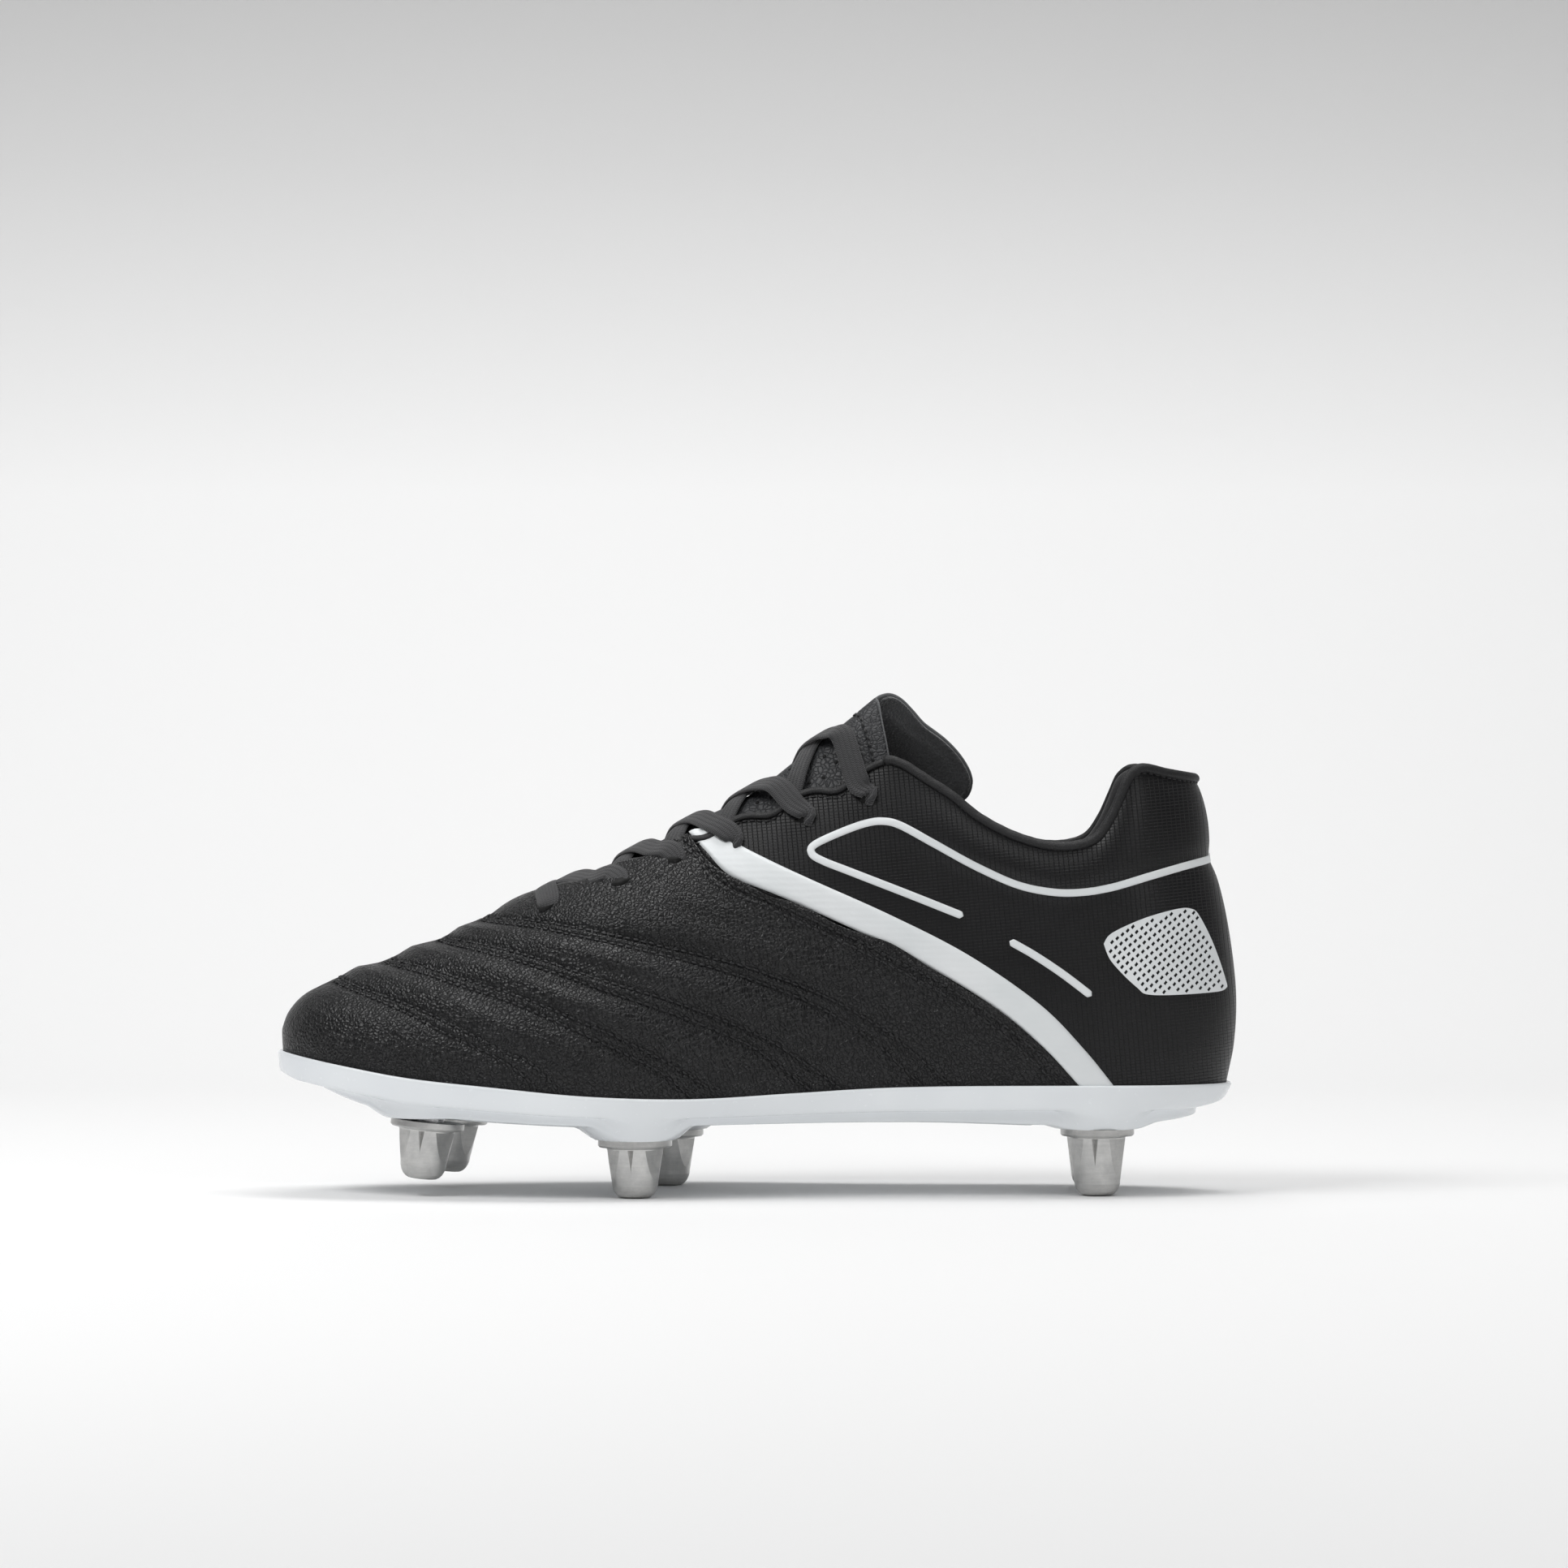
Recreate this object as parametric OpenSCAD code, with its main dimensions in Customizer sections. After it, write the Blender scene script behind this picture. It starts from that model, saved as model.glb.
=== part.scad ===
// Right-foot soft-ground soccer cleat: quilted leather vamp, synthetic quarters,
// moulded white sole plate and six screw-in aluminium studs.
// Millimetres. +X runs from toe to heel, -Y is the medial side, +Z is up.
// The origin is on the ground, under the middle of the shoe's box.

/* [Shoe] */
// Length over toe and heel
shoe_length = 287; // [270:1:300]
// Half width of the ball on the big-toe side
ball_medial = 47.6; // [42:0.5:50]
// Half width of the ball on the little-toe side
ball_lateral = 47.4; // [45:0.5:53]
// Thickness of the vamp leather and of the quarters
skin_t = 1.6; // [1.2:0.1:2]
// Thickness of the collar's foam at the ankle
collar_pad = 4.8; // [3:0.1:6]

/* [Sole] */
// Overhang of the sole plate past the upper
welt = 1.5; // [0.8:0.1:2.5]
// Radius of the sole's boss at the stud's flange
boss_r = 11.6; // [11.2:0.1:12.5]

/* [Studs] */
// Length of the toe and ball studs, from flange to tip
front_stud_l = 17.3; // [14:0.1:19]
// Length of the heel studs, from flange to tip
heel_stud_l = 20.1; // [18:0.1:22]
// Radius of the stud's flange
flange_r = 11; // [9:0.1:11.4]
// Radius of the stud's body under the flange
body_r = 8.4; // [7.5:0.1:8.8]
flat_cut = 1.35;
notch_cut = 1;
// Radius of the flat tip
tip_r = 3.4; // [3:0.1:4]
// Radius of the threaded pin, M6
pin_r = 2.95; // [2.9:0.01:2.97]

/* [Hidden] */

half_l = shoe_length / 2;
k = shoe_length / 287;      // growth from the size that the curves are drawn for
plan_b = 47 * k;            // half width of the ellipse that gives the plan's normals
tuck = 0.05;                // how far the upper draws in at the feather line
layer_gap = 0.2;            // air between two glued layers
nose_t = 4;                 // first station angle, just behind the toe's tip
bore_clear = 0.05;          // radial clearance of the pin in its bores
insert_r = 5;
insert_h = 9.5;
flange_h = 2.2;

// Curves along the shoe, as [x, value]. The widths are divided by the end ellipse.
medial_w = [[-144, 57], [-130, 57.5], [-112, 54], [-85, 51], [-50, ball_medial * 1.05],
            [-15, 39], [20, 32], [50, 33.5], [80, 40], [105, 46.5], [130, 55], [144, 58]];
lateral_w = [[-144, 54], [-130, 54], [-112, 51], [-85, 50], [-40, ball_lateral * 1.04],
             [-10, 47], [20, 41.5], [50, 40], [80, 43.5], [105, 48.5], [130, 56], [144, 59]];
feather_z = [[-144, 42], [-126, 38.7], [-104, 35], [-80, 32.6], [-50, 30], [-20, 29],
             [10, 30.4], [40, 32], [80, 32.6], [144, 32.4]];
rim_z = [[-144, 47], [-141, 53.5], [-135, 59.5], [-126, 64.8], [-115, 68.6], [-104, 73],
         [-93, 77.6], [-82, 83], [-71, 88], [-60, 91.5], [-41, 98.5], [-24, 106], [-8, 112],
         [14, 120.5], [32, 127.5], [38, 129.5], [43, 128], [50, 123.5], [57, 119], [64, 113.2],
         [71, 109], [78, 106], [86, 104], [95, 104], [103, 106.5], [109, 112.5], [114, 119.5],
         [118, 124.5], [124, 127], [134, 125.5], [144, 124]];
rim_angle = [[-144, 88], [-72, 88], [-68, 82], [-62, 76], [-40, 72], [0, 66], [32, 58],
             [60, 49], [85, 41], [110, 38], [144, 38]];
heel_back = [[28, -4], [36, -2.4], [44, -0.8], [55, 0], [65, -0.4], [80, -2.4], [92, -5],
             [102, -8.3], [112, -10.2], [121, -11.8], [130, -14]];
plate_z = [[-144, 37], [-132, 31.5], [-112, 26], [-80, 23], [-40, 21.6], [0, 21.9],
           [50, 22.4], [100, 21.4], [130, 23.2], [144, 27]];

// The seam between vamp and quarter, from the sole up to the lacing, as [x, z]
vamp_seam = [[95.3, 32.6], [84.5, 44.3], [70.2, 56.2], [51.1, 68], [29.7, 78.8],
             [5.8, 89.5], [-8.6, 95.4], [-16, 102.7], [-21, 108]];
// The rear edge of the white stripe, paired with the seam's points
stripe_edge = [[105.5, 32.6], [96, 44.3], [83, 57.5], [62, 72], [39.2, 83.7],
               [15.4, 94.3], [2, 100.5], [-7.5, 105.5], [-13.6, 110.5]];

// Studs as [name, x, y, z of the flange's seat, tilt, length]
STUDS = [["toe_medial", -99, -19.5, 22.4, 6, front_stud_l],
         ["toe_lateral", -94, 20, 22.2, 6, front_stud_l],
         ["ball_medial", -37, -28.5, front_stud_l, 0, front_stud_l],
         ["ball_lateral", -28.5, 29, front_stud_l, 0, front_stud_l],
         ["heel_medial", 100.7, -17.8, heel_stud_l, 0, heel_stud_l],
         ["heel_lateral", 101.5, 17.8, heel_stud_l, 0, heel_stud_l]];

// Eyelets as [x, how far up the wall], the same on both sides
EYELETS = [[-62, 0.84], [-41, 0.82], [-24.5, 0.82], [-7.6, 0.83], [14, 0.82], [32, 0.82]];

function clamp01(u) = min(1, max(0, u));
function smooth(a, b, x) = let (u = clamp01((x - a) / (b - a))) u * u * (3 - 2 * u);
function mix(a, b, u) = a + (b - a) * u;
function span_of(c, x, i = 0) = (i >= len(c) - 2 || x < c[i + 1][0]) ? i : span_of(c, x, i + 1);
function slope(c, i) =
    let (a = max(0, i - 1), b = min(len(c) - 1, i + 1)) (c[b][1] - c[a][1]) / (c[b][0] - c[a][0]);
// A smooth curve through the points [x, value]
function curve(c, x) =
    let (i = span_of(c, x), h = c[i + 1][0] - c[i][0], u = clamp01((x - c[i][0]) / h))
    c[i][1] * (1 + 2 * u) * pow(1 - u, 2) + slope(c, i) * h * u * pow(1 - u, 2)
    + c[i + 1][1] * u * u * (3 - 2 * u) + slope(c, i + 1) * h * u * u * (u - 1);
// A smooth path through a list of points, at u from 0 to 1
function path_at(p, u) =
    let (f = u * (len(p) - 1), i = min(len(p) - 2, floor(f)), w = f - i,
         a = p[max(0, i - 1)], b = p[i], c = p[i + 1], d = p[min(len(p) - 1, i + 2)])
    0.5 * (2 * b + (c - a) * w + (2 * a - 5 * b + 4 * c - d) * w * w
           + (3 * b - a - 3 * c + d) * w * w * w);

function at_x(x) = x / k;
function station(t) = -half_l * cos(t);
function angle_of(x) = acos(max(-1, min(1, -x / half_l)));
function half_width(t, side) =
    curve(side < 0 ? medial_w : lateral_w, at_x(station(t))) * sin(t) * k;
// Outward direction in plan at station angle t
function plan_normal(t, side) =
    let (n = [-plan_b * cos(t), side * half_l * sin(t)]) n / norm(n);
// A point of the foot form: station angle t, side -1 or 1, arch angle a from the feather
// line at 0 to the crest at 90, and d millimetres outside the upper's outer face
function arch(t, side, a, d = 0, lift = 0) =
    let (x = at_x(station(t)), zf = curve(feather_z, x), ae = curve(rim_angle, x),
         rise = (curve(rim_z, x) - zf) / sin(ae), z = zf + (rise + lift) * sin(a),
         w = half_width(t, side) * cos(a) * (1 - tuck * pow(1 - clamp01(a / 60), 4)),
         n = plan_normal(t, side), back = curve(heel_back, z) * smooth(80, 144, x))
    [station(t) + back + d * n[0] * cos(a), side * w + d * n[1] * cos(a), z + d * sin(a)];
// The same by v, from 0 at the feather line to 1 at the throat or topline edge
function wall(t, side, v, d = 0) = arch(t, side, v * curve(rim_angle, at_x(station(t))), d);
// Round the heel: T runs from 0 to 180 on the medial side and on to 360 on the lateral
function around(T, v, d = 0) = T <= 180 ? wall(T, -1, v, d) : wall(360 - T, 1, v, d);
// How far up the wall the height z lies at x, in terms of v
function v_of(x, z) =
    let (zf = curve(feather_z, x), ae = curve(rim_angle, x))
    asin(min(1, max(0, (z - zf) / (curve(rim_z, x) - zf) * sin(ae)))) / ae;
function in_tv(p) = [angle_of(p[0] * k), clamp01(v_of(p[0], p[1]))];
seam_tv = [for (p = vamp_seam) in_tv(p)];
edge_tv = [for (p = stripe_edge) in_tv(p)];
function closed_ends(p, u) = let (q = path_at(p, u)) [q[0], u <= 0 ? 0 : (u >= 1 ? 1 : clamp01(q[1]))];
function seam_at(u) = closed_ends(seam_tv, u);
function stripe_at(u) = closed_ends(edge_tv, u);
// Thickness of the collar's padding under the lining
function pad_at(x, v) = collar_pad * smooth(0.5, 0.68, v) * smooth(38, 62, x);

// A solid sheet between two grids of points. keep(i, j) leaves out quads, and nose closes
// the first row of a sheet that runs over the toe from one side to the other.
module sheet(outer, inner, flip = false, nose = false, keep = function(i, j) true) {
    n = len(outer);
    m = len(outer[0]);
    o = n * m;
    function id(i, j) = i * m + j;
    function on(i, j) = i >= 0 && j >= 0 && i < n - 1 && j < m - 1 && keep(i, j);
    function quad(a, b, c, d) = [[a, b, c], [a, c, d]];
    half = floor((m - 1) / 2);
    skins = [for (i = [0:n - 2], j = [0:m - 2]) if (on(i, j))
        let (a = id(i, j), b = id(i + 1, j), c = id(i + 1, j + 1), d = id(i, j + 1))
        each concat(quad(a, b, c, d), quad(o + d, o + c, o + b, o + a),
            on(i, j - 1) ? [] : quad(a, o + a, o + b, b),
            on(i, j + 1) ? [] : quad(c, o + c, o + d, d),
            on(i + 1, j) ? [] : quad(b, o + b, o + c, c),
            on(i - 1, j) || (nose && i == 0) ? [] : quad(d, o + d, o + a, a))];
    cap = !nose ? [] : concat(
        [for (j = [0:half - 1]) let (a = j, b = j + 1, c = m - 2 - j, d = m - 1 - j)
            each (b == c
                ? [[a, b, d], [o + d, o + b, o + a]]
                : concat(quad(a, b, c, d), quad(o + d, o + c, o + b, o + a)))],
        quad(m - 1, o + m - 1, o, 0));
    faces = concat(skins, cap);
    polyhedron(points = [for (g = [outer, inner], r = g) each r],
               faces = flip ? faces : [for (f = faces) [f[2], f[1], f[0]]]);
}

// A solid whose rings run round the plan outline, each given as a function of T
module ring_stack(rings, n) {
    m = len(rings);
    pts = [for (r = rings, i = [0:n - 1]) r(360 * i / n)];
    sides = [for (r = [0:m - 2], i = [0:n - 1])
        let (a = r * n + i, b = r * n + (i + 1) % n, c = a + n, d = b + n)
        each [[a, d, b], [a, c, d]]];
    function cap(base, turn) = [for (i = [0:n / 2 - 1])
        let (a = base + i, b = base + i + 1, c = base + (n - i - 1) % n, d = base + (n - i) % n)
        each concat(a == d ? [] : [turn ? [a, d, b] : [a, b, d]],
                    b == c ? [] : [turn ? [b, d, c] : [b, c, d]])];
    polyhedron(points = pts, faces = concat(sides, cap(0, false), cap((m - 1) * n, true)));
}

// A plain slab that follows the feather line, inset by d, from lift z0 to lift z1
module slab(d, z0, z1, n = 64) {
    ring_stack([for (z = [z0, z1])
        function(T) let (p = around(T, 0, d)) [p[0], p[1], curve(feather_z, at_x(p[0])) + z]], n);
}

// A tube of any closed section along a list of points, with its ends closed
module sweep(frames) {
    n = len(frames);
    m = len(frames[0]);
    faces = [for (i = [0:n - 2], j = [0:m - 1])
        let (a = i * m + j, b = i * m + (j + 1) % m, c = a + m, d = b + m)
        each [[a, d, b], [a, c, d]]];
    polyhedron(points = [for (f = frames) each f],
               faces = concat(faces, [[for (j = [0:m - 1]) j]],
                              [[for (j = [m - 1:-1:0]) (n - 1) * m + j]]));
}

// Sole ------------------------------------------------------------------------------------

module at_stud(s) translate([s[1] * k, s[2] * k, s[3]]) rotate([0, s[4], 0]) children();

module outsole_plate() color("white") difference() {
    union() {
        ring_stack([
            function(T) let (p = around(T, 0, -7)) [p[0], p[1], curve(plate_z, at_x(p[0]))],
            function(T) let (p = around(T, 0, -1.5)) [p[0], p[1], curve(plate_z, at_x(p[0])) + 2.2],
            function(T) let (p = around(T, 0, welt * 0.7))
                [p[0], p[1], curve(feather_z, at_x(p[0])) - 3.4],
            function(T) let (p = around(T, 0, welt))
                [p[0], p[1], curve(feather_z, at_x(p[0])) - 0.3]], 72);
        for (s = STUDS) at_stud(s) cylinder(h = 7, r1 = boss_r, r2 = boss_r + 2.4, $fn = 64);
    }
    for (s = STUDS) at_stud(s) translate([0, 0, -1]) cylinder(h = insert_h + 1, r = insert_r, $fn = 48);
}

module stud_inserts() color("slategray") for (s = STUDS) at_stud(s) difference() {
    cylinder(h = insert_h - 0.1, r = insert_r - 0.01, $fn = 48);
    translate([0, 0, -1]) cylinder(h = insert_h, r = pin_r + bore_clear, $fn = 48);
}

module insole_board() color("tan") slab(-5, layer_gap, 2);

module sockliner() color("dimgray") slab(-5.6, 2 + layer_gap, 5.6);

// Upper -----------------------------------------------------------------------------------

V_STEPS = 12;
function fore_t(i, n, x_end) = mix(nose_t, angle_of(x_end * k), i / n);

// Rows of the vamp: the forepart to the throat, then the two wings back to the seam
function vamp_grid(d) =
    let (fore = 16, wings = 12, throat_t = angle_of(-70 * k))
    [for (i = [0:fore + wings])
        [for (side = [-1, 1], j = [0:V_STEPS])
            let (u = side < 0 ? j / V_STEPS : 1 - j / V_STEPS, s = seam_at(u),
                 w = max(0, i - fore) / wings,
                 t = i <= fore ? mix(nose_t, throat_t, i / fore) : mix(throat_t, s[0] - 0.15, w),
                 v = mix(u, s[1], w))
            wall(t, side, v, d)]];

module vamp() color("#1b1b1d") sheet(vamp_grid(0), vamp_grid(-skin_t), nose = true,
    keep = function(i, j) i < 16 || j != V_STEPS);

// A sheet over the toe, back to x_end
module toe_layer(x_end, d_out, d_in) {
    grid = function(d) [for (i = [0:10]) [for (side = [-1, 1], j = [0:8])
        wall(fore_t(i, 10, x_end), side, (side < 0 ? j : 8 - j) / 8, d)]];
    sheet(grid(d_out), grid(d_in), nose = true);
}

module toe_puff() color("gray") toe_layer(-108, -skin_t - layer_gap, -skin_t - 1);

module vamp_lining() color("dimgray") toe_layer(-79, -skin_t - 1.2, -skin_t - 1.9);

// One quarter, from the seam back to the middle of the heel
module quarter(side) {
    grid = function(d) [for (i = [0:18]) [for (j = [0:V_STEPS])
        let (u = j / V_STEPS, s = seam_at(u), w = i / 18)
        wall(mix(s[0] + 0.15, 180, w), side, mix(s[1], u, w), d)]];
    sheet(grid(0), grid(-skin_t), flip = side > 0);
}

module quarter_medial() color("#242427") quarter(-1);

module quarter_lateral() color("#242427") translate([0, 0.02, 0]) quarter(1);

// The white overlay along the seam
module stripe(side) {
    grid = function(d) [for (i = [0:3]) [for (j = [0:20])
        let (u = mix(0.01, 0.99, j / 20), a = seam_at(u), b = stripe_at(u), w = mix(0.06, 1, i / 3))
        wall(mix(a[0], b[0], w), side, mix(a[1], b[1], w), d)]];
    sheet(grid(0.7), grid(0.1), flip = side > 0);
}

module stripe_medial() color("white") stripe(-1);

module stripe_lateral() color("white") stripe(1);

// The stiff cup inside the heel
module heel_counter() color("silver") {
    T0 = angle_of(76 * k);
    grid = function(d) [for (i = [0:20]) [for (j = [0:5])
        around(mix(T0, 360 - T0, i / 20), 0.58 * j / 5, d)]];
    sheet(grid(-skin_t - layer_gap), grid(-skin_t - 1.6));
}

// The lining of the heel and the ankle, over the collar's foam
module quarter_lining() color("#303034") {
    grid = function(d) [for (i = [0:30]) [for (j = [0:12])
        let (v = 0.97 * j / 12, T0 = angle_of((4 + 50 * smooth(0.4, 0.66, v)) * k),
             T = mix(T0, 360 - T0, i / 30), x = at_x(station(T)))
        around(T, v, d - pad_at(x, v))]];
    sheet(grid(-skin_t - 1.8), grid(-skin_t - 2.6));
}

module collar_foam() color("khaki") {
    T0 = angle_of(50 * k);
    grid = function(d, soft) [for (i = [0:24]) [for (j = [0:4])
        let (v = mix(0.61, 0.96, j / 4), T = mix(T0, 360 - T0, i / 24))
        around(T, v, d - soft * pad_at(at_x(station(T)), v))]];
    sheet(grid(-skin_t - layer_gap, 0), grid(-skin_t - 1.6, 1));
}

// The rolled edge round the ankle opening
module topline_binding() color("#161618") {
    n = 13;  // the quarters' own stations, so that the edges agree
    sweep([for (i = [-n:n]) let (T = mix(180, seam_at(1)[0] + 0.15, -i / 18), t = T <= 180 ? T : 360 - T,
        side = T <= 180 ? -1 : 1, x = at_x(station(t)), a = curve(rim_angle, x),
        wide = (skin_t + 2.6 + pad_at(x, 1)) / 2 + 0.2, e = plan_normal(t, side),
        out = [e[0] * cos(a), e[1] * cos(a), sin(a)], up = [-e[0] * sin(a), -e[1] * sin(a), cos(a)],
        c = around(T, 1, 0.2 - wide) + 2 * up)
        [for (q = [0:9]) c + cos(36 * q) * wide * out + 1.7 * sin(36 * q) * up]]);
}

module facing(side) {
    grid = function(d) [for (i = [0:14]) [for (j = [0:2])
        wall(angle_of(mix(-64, 35, i / 14) * k), side, mix(0.76, 0.99, j / 2), d)]];
    sheet(grid(-skin_t - 0.5), grid(-skin_t - 0.9), flip = side > 0);
}

module facing_medial() color("#303034") facing(-1);

module facing_lateral() color("#303034") facing(1);

// Tongue ----------------------------------------------------------------------------------

tongue_x0 = -75;   // where the tongue is sewn in
tongue_x1 = 34.4;  // its top edge at the crest
straight_x = 30;   // from here the tongue runs straight on

// p runs up the tongue, q from -1 at the medial edge to 1 at the lateral edge
function tongue_at(p, q, d) =
    let (side = q < 0 ? -1 : 1, beta = 90 * abs(q), low = curve([[0, 70], [0.25, 56], [0.6, 50], [1, 55]], p),
         a = 90 - (90 - low) * abs(q), reach = side < 0 ? 6 * abs(q) : 27 * sin(beta),
         x = mix(tongue_x0, tongue_x1 + reach, p), over = max(0, x - straight_x),
         b = arch(angle_of(min(x, straight_x) * k), side, a,
                  d + 2 * smooth(62, 86, a), 4 * smooth(-10, 30, x)))
    [b[0] + over, b[1] * (1 - 0.0133 * over), b[2] + over * 0.75 * (1 - smooth(0, 35, beta))];

module tongue_layer(d_out, d_in) {
    grid = function(d) [for (i = [0:18]) [for (j = [-7:7]) tongue_at(i / 18, j / 7, d)]];
    sheet(grid(d_out), grid(d_in));
}

module tongue_cover() color("#2e2e32") tongue_layer(-skin_t - 3.3, -skin_t - 4.6);

module tongue_padding() color("#4a4a4e") tongue_layer(-skin_t - 4.8, -skin_t - 7);

// Lace ------------------------------------------------------------------------------------

lace_w = 6.5;
lace_t = 1.3;
top_eye = len(EYELETS) - 1;

function eye_t(e) = angle_of(EYELETS[e][0] * k);
function eye(e, side, d) = wall(eye_t(e), side, EYELETS[e][1], d);
function over_tongue(x, q, d) =
    let (a = 90 - 30 * abs(q))
    arch(angle_of(x * k), q < 0 ? -1 : 1, a, d, 4 * smooth(-10, 30, x));
// From the outside of one eyelet over the tongue to the underside of the next one down
function crossing(e, side) =
    let (x0 = EYELETS[e][0], x1 = EYELETS[e - 1][0])
    [eye(e, side, 1.2), wall(eye_t(e) - 1, side, 0.95, 1.6),
     over_tongue(mix(x0, x1, 0.35), side * 0.4, 1.4), over_tongue(mix(x0, x1, 0.6), -side * 0.15, 1.2),
     over_tongue(mix(x0, x1, 0.8), -side * 0.62, -0.4), wall(eye_t(e - 1) + 1, -side, 0.93, -2.5)];
// The ends are tucked into the shoe and lie on the sockliner
function tail(side) = [eye(top_eye, side, -2.6), wall(angle_of(37 * k), side, 0.64, -3.6),
    wall(angle_of(42 * k), side, 0.44, -6.5), wall(angle_of(48 * k), side, 0.22, -9),
    [60, side * 13, 41], [80, side * 11, 40.1], [104, side * 11, 40.1]];
// One half of the lace: down from the top eyelet on this side to the bottom bar
function half_route(side) =
    concat([for (i = [6:-1:1]) tail(side)[i]],
           [for (e = [top_eye:-1:1])
               let (s = (top_eye - e) % 2 == 0 ? side : -side) each crossing(e, s)]);
function lace_route() =
    let (s = top_eye % 2 == 0 ? 1 : -1)
    concat(half_route(-1), [eye(0, -s, 1.2), over_tongue(-64, 0, 1.6), eye(0, s, 1.2)],
           let (h = half_route(1)) [for (i = [len(h) - 1:-1:0]) h[i]]);

// A flat ribbon: its width lies along the foot's surface, across the run
function ribbon(points, w, t) = [for (i = [0:len(points) - 1])
    let (p = points[i], f = points[min(i + 1, len(points) - 1)] - points[max(i - 1, 0)],
         up = p[2] < 75 || p[0] > 36 ? [0, 0.05, 1] : [0, p[1] / 26, 1], c = cross(f, up),
         e = c / norm(c), g = cross(e, f), h = g / norm(g))
    [for (q = [0:7]) p + e * (w / 2) * cos(45 * q) + h * (t / 2) * sin(45 * q)]];

module lace() color("#101012") sweep(ribbon(lace_route(), lace_w, lace_t));

module lace_tips() color("black") for (side = [-1, 1])
    translate([104.3, side * 11, 40.1]) rotate([0, 90, 0]) cylinder(h = 18, r = 1.2, $fn = 24);

// Studs -----------------------------------------------------------------------------------

flats = 3;

// An aluminium stud with three spanner flats and three notches, flange seat at z = 0
module stud(l) {
    low_r = body_r - 1.5;
    round_r = low_r - tip_r;
    under = -flange_h - 0.4;
    difference() {
        rotate_extrude($fn = 64) polygon(concat(
            [[0, -0.05], [flange_r, -0.05], [flange_r, 0.5 - flange_h], [flange_r - 0.5, -flange_h],
             [body_r + 0.5, -flange_h], [body_r, under]],
            [for (q = [0:15:90]) [tip_r + round_r * cos(q), -l + round_r * 1.4 * (1 - sin(q))]],
            [[0, -l]]));
        translate([0, 0, -10]) cylinder(h = 11, r = pin_r + bore_clear, $fn = 48);
        for (q = [0:flats - 1]) {
            rotate([0, 0, 120 * q + 205]) translate([body_r - flat_cut, -8, 1 - l])
                cube([6, 16, l - 1.35 + under]);
            rotate([0, 0, 120 * q + 262]) translate([body_r - notch_cut, 0, under - 8.2])
                rotate([0, 0, -45]) cube([1.7, 1.7, 8]);
        }
    }
}

module stud_at(i) color("silver") at_stud(STUDS[i]) stud(STUDS[i][5]);

// The steel pin: its lower end is in the stud and its upper end in the insert
module pin_at(i) color("gray") at_stud(STUDS[i])
    translate([0, 0, -9.5]) cylinder(h = 9.5 + 8, r = pin_r, $fn = 48);

outsole_plate();
stud_inserts();
insole_board();
sockliner();
vamp();
toe_puff();
vamp_lining();
quarter_medial();
quarter_lateral();
stripe_medial();
stripe_lateral();
heel_counter();
quarter_lining();
collar_foam();
topline_binding();
facing_medial();
facing_lateral();
tongue_cover();
tongue_padding();
lace();
lace_tips();
for (i = [0:len(STUDS) - 1]) {
    stud_at(i);
    pin_at(i);
}
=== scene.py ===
"""Looks of a soccer cleat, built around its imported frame."""
import math

import bpy
import numpy as np
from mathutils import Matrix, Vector
from mathutils.geometry import delaunay_2d_cdt
from mathutils.kdtree import KDTree


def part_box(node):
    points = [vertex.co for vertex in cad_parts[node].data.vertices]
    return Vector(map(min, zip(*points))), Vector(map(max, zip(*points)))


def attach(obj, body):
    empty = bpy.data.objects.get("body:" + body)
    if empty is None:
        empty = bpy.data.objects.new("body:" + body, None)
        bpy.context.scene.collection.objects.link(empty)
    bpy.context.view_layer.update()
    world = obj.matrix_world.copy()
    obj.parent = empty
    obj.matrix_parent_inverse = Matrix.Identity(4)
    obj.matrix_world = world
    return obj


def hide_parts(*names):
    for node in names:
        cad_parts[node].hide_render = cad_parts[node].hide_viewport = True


bl_info = {
    "name": "Soccer cleat",
    "version": (1, 0, 0),
    "blender": (4, 5, 0),
    "location": "View3D > Sidebar > Cleat",
    "description": "Builds the upper, sole, laces and studs of a soccer cleat",
    "category": "Object",
}

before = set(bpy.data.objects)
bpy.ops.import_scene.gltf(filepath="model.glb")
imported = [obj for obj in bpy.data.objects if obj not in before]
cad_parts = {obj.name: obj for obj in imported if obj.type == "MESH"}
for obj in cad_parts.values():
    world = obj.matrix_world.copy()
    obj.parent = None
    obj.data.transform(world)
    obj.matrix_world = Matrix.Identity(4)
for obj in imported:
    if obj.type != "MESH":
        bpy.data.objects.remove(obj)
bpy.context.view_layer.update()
MM = 0.001
LENGTH = 287.0  # the length that the curves below are drawn for
GROW = (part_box("outsole_plate")[1].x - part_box("outsole_plate")[0].x) / MM / 286.9
HALF = LENGTH / 2 * GROW
PLAN_B = 47.0 * GROW
TUCK = 0.05
SKIN = 1.6
LIFT = 4.0

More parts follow.
